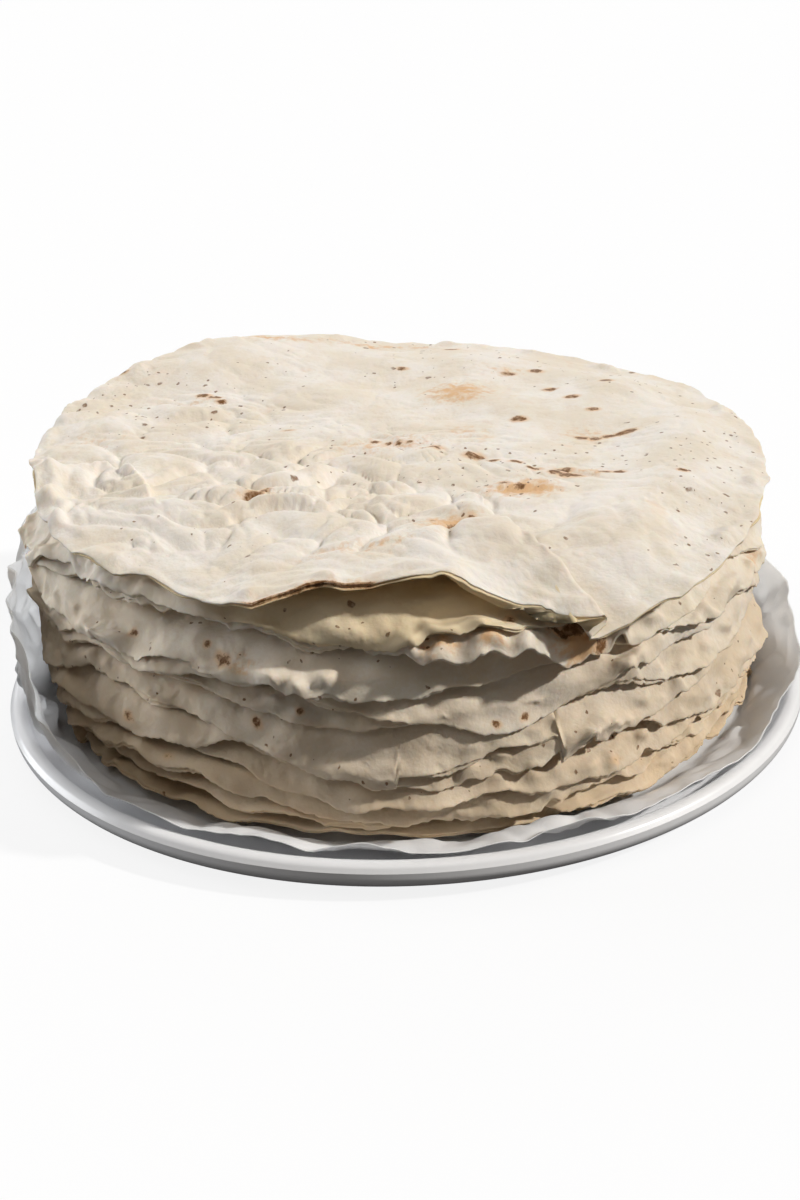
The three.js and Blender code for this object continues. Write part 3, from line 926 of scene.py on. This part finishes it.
# %% The eleven lower breads
EDGE_FADE = 4 * MM
for number, (line, end, support) in laid.items():
    rings, lengths, inner_side_and_shade, upper_rings = bread_rings(number, line, end, support)
    from_edge = np.abs(end[None, :] - lengths)
    if number == 11:  # painted shade: ochre where it lies in the mouth under the lifted top
        inner_side_and_shade = np.maximum(inner_side_and_shade, 0.8 * between(-124, -106, -80, -66))
    toast, char = band_marks(number, from_edge)
    # low: how much painted shade a bread's colour gets, most at the bottom of the pile
    values = {"edge": np.exp(-from_edge / EDGE_FADE), "inner_side_and_shade": inner_side_and_shade, "toast": toast,
              "char": char, "low": np.full_like(lengths, 1 - number / 11)}
    layout = disc_map(lengths, ANGLES, upper_rings)
    name = f"flatbread_{number:02d}"
    piece = grid_mesh(name, rings, layout, flat_map(lengths, number), values, bread_crust)
    place(piece, BREADS[number - 1], "bread")
print(len(laid), "breads of", len(piece.data.polygons), "faces")

# %% [markdown]
# ## The uppermost bread
#
# The top bread shows its whole face, so it gets most of the points. It lies free: its rim is lifted
# at the front, cupped up at the left, and swollen at the back. Its outline is given as
# bearings with a radius and a height over the middle. The face between is worked out from hills,
# wrinkles, blisters and the roll along the rim, and it is held above the bread below everywhere.

# %% Outline of the top bread
TOP_LEVEL = PILE_BOTTOM + 12 * PITCH - LAY_GAP
TOP_EDGE = [  # bearing, radius, height over the middle
    (-178, 177, -3), (-171, 175, -2), (-165, 173, 4), (-155, 179, 0), (-144, 184, -5),
    (-131, 182, -10), (-127, 175, -7), (-121, 179, -9), (-110, 186, -12), (-107, 184, -11),
    (-104, 177, -6), (-99, 174, -2), (-94, 174, -3), (-89, 172, 0), (-86, 172, 2), (-80, 177, -7),
    (-74, 184, -20), (-70.5, 191, -26), (-66, 197, -30), (-61.5, 196, -25), (-56, 195, -21),
    (-45, 191, -15), (-37, 187, -12), (-26, 181, -9), (-1, 174, -6), (21, 176, -6), (40, 174, -8),
    (68, 175, -6), (89, 177, -3), (106, 177, 0), (121, 178, 5), (131, 178, 7), (148, 178, 4),
    (165, 179, 0),
]
TOP_RADIUS = (through(TOP_EDGE, ANGLES) + 0.5 * ring_wave(301, 16, 70, ANGLES)) * MM
TOP_RISE = through(TOP_EDGE, ANGLES, column=2) * MM
least, most = round(float(TOP_RADIUS.min()) / MM), round(float(TOP_RADIUS.max()) / MM)
print("top bread", least, "to", most, "mm in radius")

# %% [markdown]
# ### Folds
#
# Where the bread was dropped on the pile it doubled over itself. A fold of this kind can't be a
# bump: the sheet goes under its own lip and comes back. So a few columns of the grid are led along
# a Z-shaped path: in under the lip, back out to its edge, and on over the top. The fold's line is
# nearly a radius, so its columns only have to be turned a few degrees to follow it.

# %% Folding the grid
FOLD_PATH = np.array([  # how far under the lip, and how high, from the lip's top to the crease
    (0.0, 1.0), (-0.08, 0.78), (0.0, 0.56), (0.3, 0.46), (0.6, 0.3), (0.85, 0.14), (1.0, 0.0),
])
FOLD_LINE = [(86, -65), (111, -70.5), (132, -71.0), (159, -67.8), (184, -65.4), (210, -64.2)]
FOLD_OVERLAP, FOLD_LIFT = 9 * MM, 7 * MM
FOLD_OPENS = 55 * MM  # along the line, from nothing to its full size
FOLD_SLOPE = 46 * MM  # how far from the lip the lift fades
FOLD_REACH = 44  # columns on each side that make room


def fold_sheet(radius, angles):
    """New bearings, the height to add, and how much painted shade each point gets beside the fold's
    lip.
    """
    line_radii, line_bearings = np.array(FOLD_LINE).T * [[MM], [math.pi / 180]]
    middle = float(line_bearings.mean())
    off = (angles - middle + math.pi) % TAU - math.pi
    step = TAU / ROUNDS
    column = np.round(off / step)
    open_share = smooth_step(line_radii[0], line_radii[0] + FOLD_OPENS, radius)
    lip = FOLD_OVERLAP * open_share
    natural = column * step * radius
    reach = FOLD_REACH * step * radius
    half = (len(FOLD_PATH) - 1) // 2
    on_path = np.clip(column + half, 0, len(FOLD_PATH) - 1)
    path_in, path_up = (np.interp(on_path, np.arange(len(FOLD_PATH)), path) for path in FOLD_PATH.T)
    lip_side = (column + half) / (FOLD_REACH - half) * reach
    far_side = -lip + (column - half) / (FOLD_REACH - half) * (reach + lip)
    placed = np.where(column > half, far_side, -path_in * lip)
    placed = np.where(column < -half, lip_side, placed)
    placed = np.where(np.abs(column) >= FOLD_REACH, natural, placed)
    placed = natural + (placed - natural) * smooth_step(0, 0.15, open_share)
    rise = np.where(column < -half, np.exp(-((placed / FOLD_SLOPE) ** 2)), path_up)
    rise = np.where(column > half, 0, rise) * FOLD_LIFT * open_share
    follow = np.interp(radius, line_radii, line_bearings) - middle
    window = 1 - smooth_step(0.25, 0.5, np.abs(off))
    turned = (placed - natural) / np.maximum(radius, 20 * MM) + follow * window
    fold_shade = np.where(column > -half, np.exp(-np.maximum(placed, 0) / (9 * MM)), 0) * open_share
    return turned, rise, fold_shade


print("fold lifts its lip by", FOLD_LIFT / MM, "mm")

# %% [markdown]
# ### The face of the top bread
#
# Slow hills come first. Then come pillows with sharp creases between them, which is what thin dough
# makes where it slid together, strongest left of the middle. The size of a noise without its sign
# has just that shape, and a slow warp keeps the creases from running straight. Blisters are round
# domes of a few millimetres. Last, a roll runs along the rim, thickest at the left.

# %% Relief of the top face
HILL = noise_field(21, 0.10)
PILLOW = noise_field(22, 0.040, 0.4)
PUCKER = noise_field(23, 0.018, 0.4)
WARP = noise_field(25, 0.07)
ROLL = noise_field(24, 0.03)
BLISTER_COUNT = 90
LOBE_LINE = np.array([(-168, -52), (-151, -42), (-137, -33), (-122, -47), (-113, -70)]) * MM
LOBE_HEIGHT = 6.5 * MM


def around(x, y, at_x, at_y, wide, deep):
    """One at a place in mm, falling off over this width and depth, also in mm."""
    return np.exp(-((x / MM - at_x) / wide) ** 2 - ((y / MM - at_y) / deep) ** 2)


def blisters(x, y):
    rng = np.random.default_rng(31)
    total = np.zeros_like(x)
    for _ in range(BLISTER_COUNT):
        at_x, at_y = rng.normal(-45, 62), rng.normal(-12, 58)
        size = rng.uniform(3.2, 8.5)
        height = rng.uniform(0.25, 0.75)
        apart = np.hypot((x / MM - at_x) * 0.8, y / MM - at_y) / size
        total = np.maximum(total, height * np.clip(1 - apart ** 2, 0, 1) ** 1.5)
    return total


def creased(field, x, y, floor):
    """Pillows with sharp creases between them: the size of a noise without its sign."""
    return np.sqrt(np.abs(sample(field, x, y)) + floor) - 0.85


def top_relief(x, y, from_edge):
    """Height of the top face over its smooth form, in metres."""
    busy = 0.16 + 1.0 * around(x, y, -62, -66, 100, 66) + 0.5 * around(x, y, 20, -125, 65, 40)
    busy = busy + 0.4 * around(x, y, -110, 30, 60, 60)
    slid_x = 0.72 * x + 0.2 * y + 4 * MM * sample(WARP, x, y)
    slid_y = y + 4 * MM * sample(WARP, x + 0.2, y)
    pillows = 4.8 * creased(PILLOW, slid_x, slid_y, 0.02)
    puckers = 2.0 * creased(PUCKER, slid_x, slid_y, 0.03)
    roll = np.exp(-((from_edge - 6 * MM) / (5 * MM)) ** 2)
    roll = roll * np.clip(0.7 + 1.2 * sample(ROLL, x, y), 0, 2.6)
    roll = roll * (1.1 + 0.8 * around(x, y, -150, -75, 45, 60))
    hills = 1.4 * sample(HILL, x, y)
    return (hills + busy * (pillows + puckers) + 1.3 * blisters(x, y) + roll) * MM


def lobe(x, y):
    """A second, soft fold at the left: a ridge that curves in from the rim and fades."""
    height = np.zeros_like(x)
    nearest = np.full_like(x, 1.0)
    for (ax, ay), (bx, by) in zip(LOBE_LINE, LOBE_LINE[1:]):
        along_x, along_y = bx - ax, by - ay
        share = ((x - ax) * along_x + (y - ay) * along_y) / (along_x ** 2 + along_y ** 2)
        share = np.clip(share, 0, 1)
        off_x, off_y = x - ax - share * along_x, y - ay - share * along_y
        apart = np.hypot(off_x, off_y)
        soft_side = along_x * off_y < along_y * off_x
        slow, steep = np.exp(-apart / (13 * MM)), np.exp(-(apart / (2.2 * MM)) ** 2)
        height = np.where(apart < nearest, np.where(soft_side, slow, steep), height)
        nearest = np.minimum(nearest, apart)
    return LOBE_HEIGHT * height


# %% Marks of the hot plate on the top face
TOAST_PATCHES = [  # place, half width and depth in mm, strength
    (33, 62, 17, 15, 0.8), (34, 5, 10, 8, 0.5), (56, -80, 17, 10, 0.95), (-6, -12, 24, 13, 0.5),
    (-72, 156, 30, 7, 0.6), (-10, 162, 42, 6, 0.5), (20, -124, 13, 7, 0.8), (-148, 10, 14, 9, 0.3),
    (-135, 134, 9, 7, 0.6), (-62, -79, 10, 7, 0.5), (90, 0, 16, 10, 0.35), (60, 98, 14, 8, 0.4),
    (110, -3, 7, 5, 0.6), (-15, -141, 26, 6, 0.4), (84, -57, 16, 6, 0.5), (-100, 66, 10, 6, 0.4),
]
CHAR_SPOTS = [  # place and half width in mm
    (-160, 102, 2.8), (-145, 102, 2.4), (-99, 70, 2.8), (-93, 66, 2.4), (-90, 61, 2.0),
    (-53, 14, 2.4), (-64, -81, 3.4), (-67, -74, 2.4), (-60, -76, 2.0), (17, -24, 4.2),
    (36, -35, 3.6), (79, -61, 4.6), (72, -58, 2.6), (77, -53, 3.2), (61, 18, 3.0), (81, 69, 2.8),
    (76, 100, 3.0), (90, 48, 3.0), (99, 29, 2.6), (90, -4, 2.6), (96, -6, 2.2), (103, -4, 2.8),
    (112, -3, 3.4), (110, 67, 2.6), (61, 95, 3.0), (33, 151, 3.0), (96, -56, 2.4),
    (101, -57, 2.6), (129, -66, 2.0), (-10, -4, 1.8), (-4, -6, 1.7), (1, -8, 1.8), (6, -10, 1.8),
    (45, -41, 2.0), (55, -46, 2.4), (63, -53, 2.6), (14, -122, 2.2), (22, -126, 2.4),
    (30, -123, 2.0), (47, -72, 2.6), (54, -78, 2.4), (5, 108, 2.4),
]


def top_marks(x, y):
    toast, char = np.zeros_like(x), np.zeros_like(x)
    for *where, strength in TOAST_PATCHES:
        toast = np.maximum(toast, strength * around(x, y, *where))
    for at_x, at_y, size in CHAR_SPOTS:
        char = np.maximum(char, around(x, y, at_x, at_y, 1.5 * size, size))
    return toast, char


# %% Rings of the top bread
TOP_UPPER, TOP_UNDER = 104, 16
TOP_PARTED = np.clip(0.3 + 0.4 * ring_wave(302, 3, 12, ANGLES), 0.05, 1.2) * MM
BACK_SWELL = 9 * MM


def top_ease(share):
    return smooth_step(0.74, 1.06, share) / smooth_step(0.74, 1.06, 1.0)


def top_face(share):
    """Radius, bearing and height of the upper face, for a column of shares of the outline."""
    radius = share * TOP_RADIUS[None, :]
    angles = np.broadcast_to(ANGLES[None, :], radius.shape)
    turned, rise, fold_shade = fold_sheet(radius, angles)
    placed = angles + turned
    x, y = radius * np.cos(placed), radius * np.sin(placed)
    swell = BACK_SWELL * around(x, y, -100, 125, 75, 50)
    edge_rise = np.interp(placed, ANGLES, TOP_RISE, period=TAU)
    form = TOP_LEVEL + (edge_rise - swell * 0.6) * top_ease(share) + swell
    height = form + top_relief(x, y, TOP_RADIUS[None, :] - radius) + lobe(x, y)
    floor = read_lines(radius, pile_reach, pile_z)
    height = soft_max(height, floor + 2 * LEAF + TOP_PARTED + 0.8 * MM, 0.6 * MM)
    return radius, placed, height + rise, floor, fold_shade


middle_share, rim_share = np.linspace(0.015, 0.7, 60)[:-1], np.linspace(0.7, 1, TOP_UPPER - 59)
upper_share = np.concatenate([middle_share, rim_share])[:, None]
radius, bearing, height, _, fold_shade = top_face(upper_share)
flow = np.stack([radius[-1] - radius[-4], height[-1] - height[-4]])
flow = flow / np.linalg.norm(flow, axis=0)
depth = 0.5 + 1.5 * smooth_step(0.4, 0.9, 0.5 + 0.5 * ring_wave(303, 3, 10, ANGLES))
front_lip = np.exp(-(turn_from(-85) / math.radians(14)) ** 2)
lower_reach = TOP_RADIUS + (0.4 * ring_wave(304, 5, 30, ANGLES) + 1.2 * front_lip) * MM
edge_along, edge_in = torn_edge(TOP_RADIUS, lower_reach, depth * MM, TOP_PARTED)
edge_along = edge_along - TOP_RADIUS
edge_radius = TOP_RADIUS + edge_along * flow[0] + edge_in * flow[1]
edge_height = height[-1] + edge_along * flow[1] - edge_in * flow[0]
under_share = np.linspace(0.02, 0.995, TOP_UNDER)[::-1, None]
under_radius, _, under_height, under_floor, _ = top_face(under_share)
middle = 1 - smooth_step(0.72, 0.93, under_share)
thick = (2 * LEAF + TOP_PARTED) * (1 - middle) + (PITCH - 0.8 * MM) * middle
under_height = np.maximum(under_height - thick, under_floor + 0.4 * MM)
print("outline stands", round(float(height[-1].min()) / MM), "mm high at its lowest place")

# %% Mesh of the top bread
edge_bearing = np.broadcast_to(bearing[-1], edge_radius.shape)
under_bearing = np.broadcast_to(ANGLES, under_radius.shape)
top_bearing = np.concatenate([bearing, edge_bearing, under_bearing])
top_radius = np.concatenate([radius, edge_radius, under_radius])
rings = spun(top_radius, top_bearing, np.concatenate([height, edge_height, under_height]))
lengths = np.concatenate([radius, TOP_RADIUS + edge_along, under_radius])
inner_side_and_shade = np.zeros_like(lengths)
# painted shade: a faint ochre beside the fold, where its lip overhangs the sheet
inner_side_and_shade[:TOP_UPPER] = 0.2 * fold_shade
# ochre on the torn gap between the leaves, the inner side, and on the underside as painted warm
# shade under the lifted front
inner_side_and_shade[TOP_UPPER + 2:] = 1
from_edge = np.abs(TOP_RADIUS - lengths)
upper_only = (np.arange(len(lengths)) < TOP_UPPER + 2)[:, None]
toast, char = (mark * upper_only for mark in top_marks(rings[..., 0], rings[..., 1]))
scorched = between(-114, -106, -96, -87)
scorched = scorched * np.clip(1.0 + 0.5 * ring_wave(305, 20, 70, ANGLES), 0.3, 1.2)
values = {
    "edge": np.exp(-from_edge / EDGE_FADE), "inner_side_and_shade": inner_side_and_shade, "low": np.zeros_like(lengths),
    "char": np.maximum(char, scorched * np.exp(-from_edge / (0.8 * MM))),
    "toast": np.maximum(toast, 0.5 * scorched * np.exp(-from_edge / (3 * MM))),
}
layout = disc_map(lengths, ANGLES, TOP_UPPER + 4)
piece = grid_mesh("flatbread_12", rings, layout, flat_map(lengths, 0), values, top_crust)
place(piece, BREADS[11], "top_bread")
highest = round(float(height.max()) / MM)
print("top bread of", len(piece.data.polygons), "faces, up to", highest, "mm")

# %% [markdown]
# ## The plate
#
# A glazed plate is thrown or pressed and then turned, so it is a profile spun about its axis. Glaze
# pools at every inside corner and thins on every edge, which is why no corner here is sharp: the
# profile's corners are rounded before it is spun. Its radius is read from the solid plate.

# %% Profile of the plate
PLATE_ROUNDS = 320
PLATE_TOP = float(corners("parchment_sheet")[0][2]) - LAY_GAP
LIP_TOP = 18 * MM
LIP_WIDTH = 9 * MM
COVE = 6 * MM
FOOT_OUTER = PLATE_RADIUS - 55 * MM
FOOT_INNER = FOOT_OUTER - 7 * MM
FOOT_HEIGHT = 2.5 * MM


def rounded(points, passes=3):
    """Cuts every corner of an open line again and again, which rounds it."""
    line = np.array(points)
    for _ in range(passes):
        near = 0.75 * line[:-1] + 0.25 * line[1:]
        far = 0.25 * line[:-1] + 0.75 * line[1:]
        middle = np.stack([near, far], axis=1).reshape(-1, 2)
        line = np.concatenate([line[:1], middle, line[-1:]])
    return line


lip_inner = PLATE_RADIUS - LIP_WIDTH
upper_profile = rounded([
    (2 * MM, PLATE_TOP), (60 * MM, PLATE_TOP), (lip_inner - COVE - 6 * MM, PLATE_TOP),
    (lip_inner - COVE, PLATE_TOP), (lip_inner - 1 * MM, PLATE_TOP + 3.5 * MM),
    (lip_inner + 0.5 * MM, LIP_TOP - 1.5 * MM), (lip_inner + 2.5 * MM, LIP_TOP),
    (PLATE_RADIUS - 2.2 * MM, LIP_TOP), (PLATE_RADIUS, LIP_TOP - 3.2 * MM),
])
under_profile = rounded([
    (PLATE_RADIUS, LIP_TOP - 3.2 * MM), (PLATE_RADIUS - 0.4 * MM, LIP_TOP - 8 * MM),
    (PLATE_RADIUS - 5 * MM, FOOT_HEIGHT + 2.4 * MM),
    (PLATE_RADIUS - 16 * MM, FOOT_HEIGHT + 0.6 * MM), (FOOT_OUTER + 6 * MM, FOOT_HEIGHT),
    (FOOT_OUTER + 0.6 * MM, FOOT_HEIGHT), (FOOT_OUTER, 0), (FOOT_INNER, 0),
    (FOOT_INNER - 0.6 * MM, FOOT_HEIGHT), (FOOT_INNER - 6 * MM, FOOT_HEIGHT),
    (2 * MM, FOOT_HEIGHT),
])
profile = np.concatenate([upper_profile, under_profile[1:]])
turns = np.arange(PLATE_ROUNDS) * TAU / PLATE_ROUNDS
plate_radius, plate_height = (np.repeat(side[:, None], PLATE_ROUNDS, axis=1) for side in profile.T)
walked = np.concatenate([[0], np.cumsum(np.hypot(*np.diff(profile, axis=0).T))])
on_upper = np.arange(len(profile)) < len(upper_profile)
lengths = np.where(on_upper, walked, walked[-1] - walked)[:, None] * np.ones(PLATE_ROUNDS)
layout = disc_map(lengths, turns, len(upper_profile))
rings = spun(plate_radius, turns, plate_height)
plate = grid_mesh("glazed_plate", rings, layout, spun(plate_radius, turns), {}, glaze)
place(plate, "serving_plate", "white_glaze")
print("plate profile of", len(profile), "points")

# %% [markdown]
# ## The parchment
#
# The sheet was pushed down into the plate by the weight of the bread. It lies flat under the pile,
# bends where the pile ends, and stands up between the pile and the lip at the sides and the back,
# while at the front it stays flat. Paper hardly stretches, so it doesn't wave like cloth: it breaks
# into flat facets with straight creases between them. Folding a smooth noise about zero, by taking
# its size without its sign, gives just such creases.

# %% How the parchment stands
PAPER = [  # bearing; mm from the turn to the bend, and on to the edge; headings of both stretches
    (-90, 4, 24, 23, 20), (-105, 4, 24, 24, 22), (-118, 4, 24, 25, 26), (-128, 4, 27, 27, 34),
    (-137, 6, 38, 32, 48), (-141, 7, 48, 36, 60), (-147, 9, 58, 40, 72), (-155, 12, 72, 46, 85),
    (-166, 16, 84, 52, 92), (180, 17, 86, 56, 94), (160, 17.4, 90, 60, 93), (120, 17.4, 96, 68, 91),
    (60, 17.4, 94, 68, 92), (34, 17.4, 80, 69, 95), (16, 16, 54, 68, 92), (2, 11, 41, 52, 76),
    (-12, 8, 33, 37, 48), (-26, 6, 28, 29, 36), (-38, 5, 26, 25, 30), (-50, 4, 25, 24, 27),
    (-60, 5, 25, 24, 26), (-68, 5, 25, 25, 30), (-75, 4, 24, 23, 22),
]
PAPER_ROUNDS = 512
PAPER_THICK = 0.35 * MM
PAPER_INNER, PAPER_OUTER = 6, 66
PAPER_ANGLES = np.arange(PAPER_ROUNDS) * TAU / PAPER_ROUNDS
FIRST_STRETCH = 20 * MM
LOW_PAPER = 14 * MM  # over the plate; lower paper lies, and higher paper stands
WALL_GAP, WALL_PUSH = 1.4 * MM, 14 * MM  # kept from the pile, and the most that it gives way
LOW_BREADS = (1, 2, 3, 4)
CRUMPLE_WIDE = noise_field(41, 0.078, 0.35)
CRUMPLE_FINE = noise_field(42, 0.030, 0.35)


def crumple(x, y):
    """Straight ridges with flat facets between them, in metres."""
    wide = np.abs(sample(CRUMPLE_WIDE, x, y))
    fine = np.abs(sample(CRUMPLE_FINE, x, y))
    return (3.6 * wide + 1.0 * fine) * MM


def paper_path():
    """Lengths, radius, height, heading and distance past the bend, ring by ring."""
    bend = TURN_RADIUS + through(PAPER, PAPER_ANGLES, 4) * MM
    length = through(PAPER, PAPER_ANGLES, 2.5, column=2) * MM
    ragged = ring_wave(401, 6, 22, PAPER_ANGLES)
    length = length + np.minimum(0.04 * length, 3 * MM) * ragged
    first, second = (np.radians(through(PAPER, PAPER_ANGLES, 3, column)) for column in (3, 4))
    inner = np.linspace(0.02, 0.85, PAPER_INNER)[:, None] * bend
    start = 0.88 * bend
    outer = start + np.linspace(0, 1, PAPER_OUTER)[:, None] * (bend + length - start)
    lengths = np.concatenate([inner, outer])
    beyond = lengths - bend
    later = smooth_step(FIRST_STRETCH - 6 * MM, FIRST_STRETCH + 6 * MM, beyond)
    heading = first * smooth_step(-4 * MM, 5 * MM, beyond) + (second - first) * later
    step = np.diff(lengths, axis=0, prepend=lengths[:1])
    radius = lengths[:1] + np.cumsum(step * np.cos(heading), axis=0)
    height = np.cumsum(step * np.sin(heading), axis=0)
    return lengths, radius, height, heading, beyond


def room_under_pile(radius, rows):
    """Height of the undersides of the lowest rims over points of a (ring, bearing) grid."""
    room = np.full_like(radius, 1.0)
    for number in LOW_BREADS:
        line, end, _ = laid[number]
        covered = length_along(line) <= end[:, None]
        thick = 1.2 * (2 * LEAF + parted_leaves(number))
        for column, row in enumerate(rows):
            reach, under = from_page(ACROSS[covered[row]], line[row][covered[row]])
            reach, under = np.maximum.accumulate(reach), under - thick[row]
            under = np.interp(radius[:, column], reach, under, right=1.0)
            room[:, column] = np.minimum(room[:, column], under)
    return room


def plate_face(radius):
    """Height of the plate's upper side under a radius, with its lip."""
    face = np.interp(radius, upper_profile[:, 0], upper_profile[:, 1])
    return np.where(radius > PLATE_RADIUS, 0, face)


lengths, radius, height, heading, beyond = paper_path()
sheet_x, sheet_y = lengths * np.cos(PAPER_ANGLES) + 0.05, lengths * np.sin(PAPER_ANGLES)
loose = smooth_step(-3 * MM, 6 * MM, beyond)
calm = 0.75 + 0.25 * smooth_step(30 * MM, 60 * MM, beyond[-1])
lift = crumple(sheet_x, sheet_y) * loose * calm
radius = radius - (lift - 2.6 * MM * loose) * np.sin(heading)
height = PLATE_TOP + 0.75 * MM + height + lift * np.cos(heading)
every = np.arange(PAPER_ROUNDS) * ROUNDS // PAPER_ROUNDS
low = height < PLATE_TOP + LOW_PAPER
under_rims = np.minimum(height, room_under_pile(radius, every) - 0.5 * MM)
height = np.where(low, under_rims, height)
height = np.maximum(height, plate_face(radius) + PAPER_THICK + 0.25 * MM)
wall = read_lines(-height, -pile_z[every], pile_reach[every]) + WALL_GAP
pushed = np.maximum(radius, np.minimum(wall, radius + WALL_PUSH))
radius = np.where(height > PLATE_TOP + LOW_PAPER, pushed, radius)
print("parchment stands", round(float(height.max()) / MM), "mm high")

# %% Mesh of the parchment
tangent = np.stack([np.gradient(radius, axis=0), np.gradient(height, axis=0)])
tangent = PAPER_THICK * tangent / np.linalg.norm(tangent, axis=0)
both_radius = np.concatenate([radius, (radius + tangent[1])[::-1]])
both_height = np.concatenate([height, (height - tangent[0])[::-1]])
rings = spun(both_radius, PAPER_ANGLES, both_height)
values = {"standing": smooth_step(12 * MM, 40 * MM, np.concatenate([height, height[::-1]]))}
layout = disc_map(np.concatenate([lengths, lengths[::-1]]), PAPER_ANGLES, len(lengths))
flat = spun(np.concatenate([lengths, lengths[::-1]]), PAPER_ANGLES)
paper = grid_mesh("baking_parchment", rings, layout, flat, values, parchment)
place(paper, "parchment_sheet", "parchment")

# %% [markdown]
# ## Floor, light and room
#
# The pile stands in a plain white studio. The key lamp, high on the right and a little in front,
# gives the relief its shape. Three very wide lamps, over the front, at the left and behind, fill
# the shade with the white room. A bright floor would light the sides from below, so to anything but
# the eye it is dark: a studio does the same by laying black card just outside the picture.

# %% Floor
FLOOR_HALF = 4.0


def two_faced(tree, unseen, seen, output):
    """One shader for the camera, and another for the light that goes about the room."""
    to_camera = node(tree, "ShaderNodeLightPath").outputs["Is Camera Ray"]
    mixed = node(tree, "ShaderNodeMixShader", {0: to_camera, 1: unseen, 2: seen}).outputs[0]
    tree.links.new(mixed, tree.nodes[output].inputs["Surface"])


def shade(tree, kind, value, **more):
    """The output of a plain shader of one colour."""
    return node(tree, kind, {"Color": (*value, 1), **more}).outputs[0]


sides = ((-1, -1), (1, -1), (1, 1), (-1, 1))
floor_corners = [(x * FLOOR_HALF, y * FLOOR_HALF, 0) for x, y in sides]
floor_mesh = bpy.data.meshes.new("floor")
floor_mesh.from_pydata(floor_corners, [], [(0, 1, 2, 3)])
floor = new_object("floor", floor_mesh)
floor_paint = bpy.data.materials.new("floor_paint")
floor_paint.use_nodes = True
tree = floor_paint.node_tree
tree.nodes.remove(tree.nodes["Principled BSDF"])
lit = shade(tree, "ShaderNodeBsdfDiffuse", (0.13, 0.13, 0.133))
glow = shade(tree, "ShaderNodeEmission", (0.86, 0.86, 0.86))
both = node(tree, "ShaderNodeAddShader", {0: lit, 1: glow}).outputs[0]
two_faced(tree, shade(tree, "ShaderNodeBsdfDiffuse", (0.10, 0.10, 0.103)), both, "Material Output")
floor_mesh.materials.append(floor_paint)
print("floor", 2 * FLOOR_HALF, "m across")

# %% Lamp and room
LAMPS = {  # from where, strength, width in degrees, colour
    "key": ((0.784, -0.172, 0.596), 2.8, 3, (1.0, 0.98, 0.945)),
    "front_fill": ((-0.10, -0.34, 0.94), 0.4, 40, (1.0, 0.98, 0.95)),
    "left_fill": ((-0.92, 0.34, 0.18), 2.4, 40, (0.95, 0.975, 1.0)),
    "back_fill": ((-0.15, 0.92, 0.36), 0.85, 60, (0.97, 0.985, 1.0)),
}
ROOM = 0.135
for name, (source, strength, width, colour) in LAMPS.items():
    lamp = bpy.data.lights.new(name, "SUN")
    lamp.energy = strength
    lamp.angle = math.radians(width)
    lamp.color = colour
    new_object(name, lamp).rotation_euler = Vector(source).to_track_quat("Z", "Y").to_euler()
room = bpy.data.worlds.new("room")
room.use_nodes = True
tree = room.node_tree
dim = shade(tree, "ShaderNodeBackground", (1.0, 0.95, 0.88), Strength=ROOM)
white = shade(tree, "ShaderNodeBackground", (0.985, 0.985, 0.985))
two_faced(tree, dim, white, "World Output")
bpy.context.scene.world = room
bpy.context.scene.view_settings.view_transform = "Standard"
print(len(LAMPS), "lamps in a room of strength", ROOM)
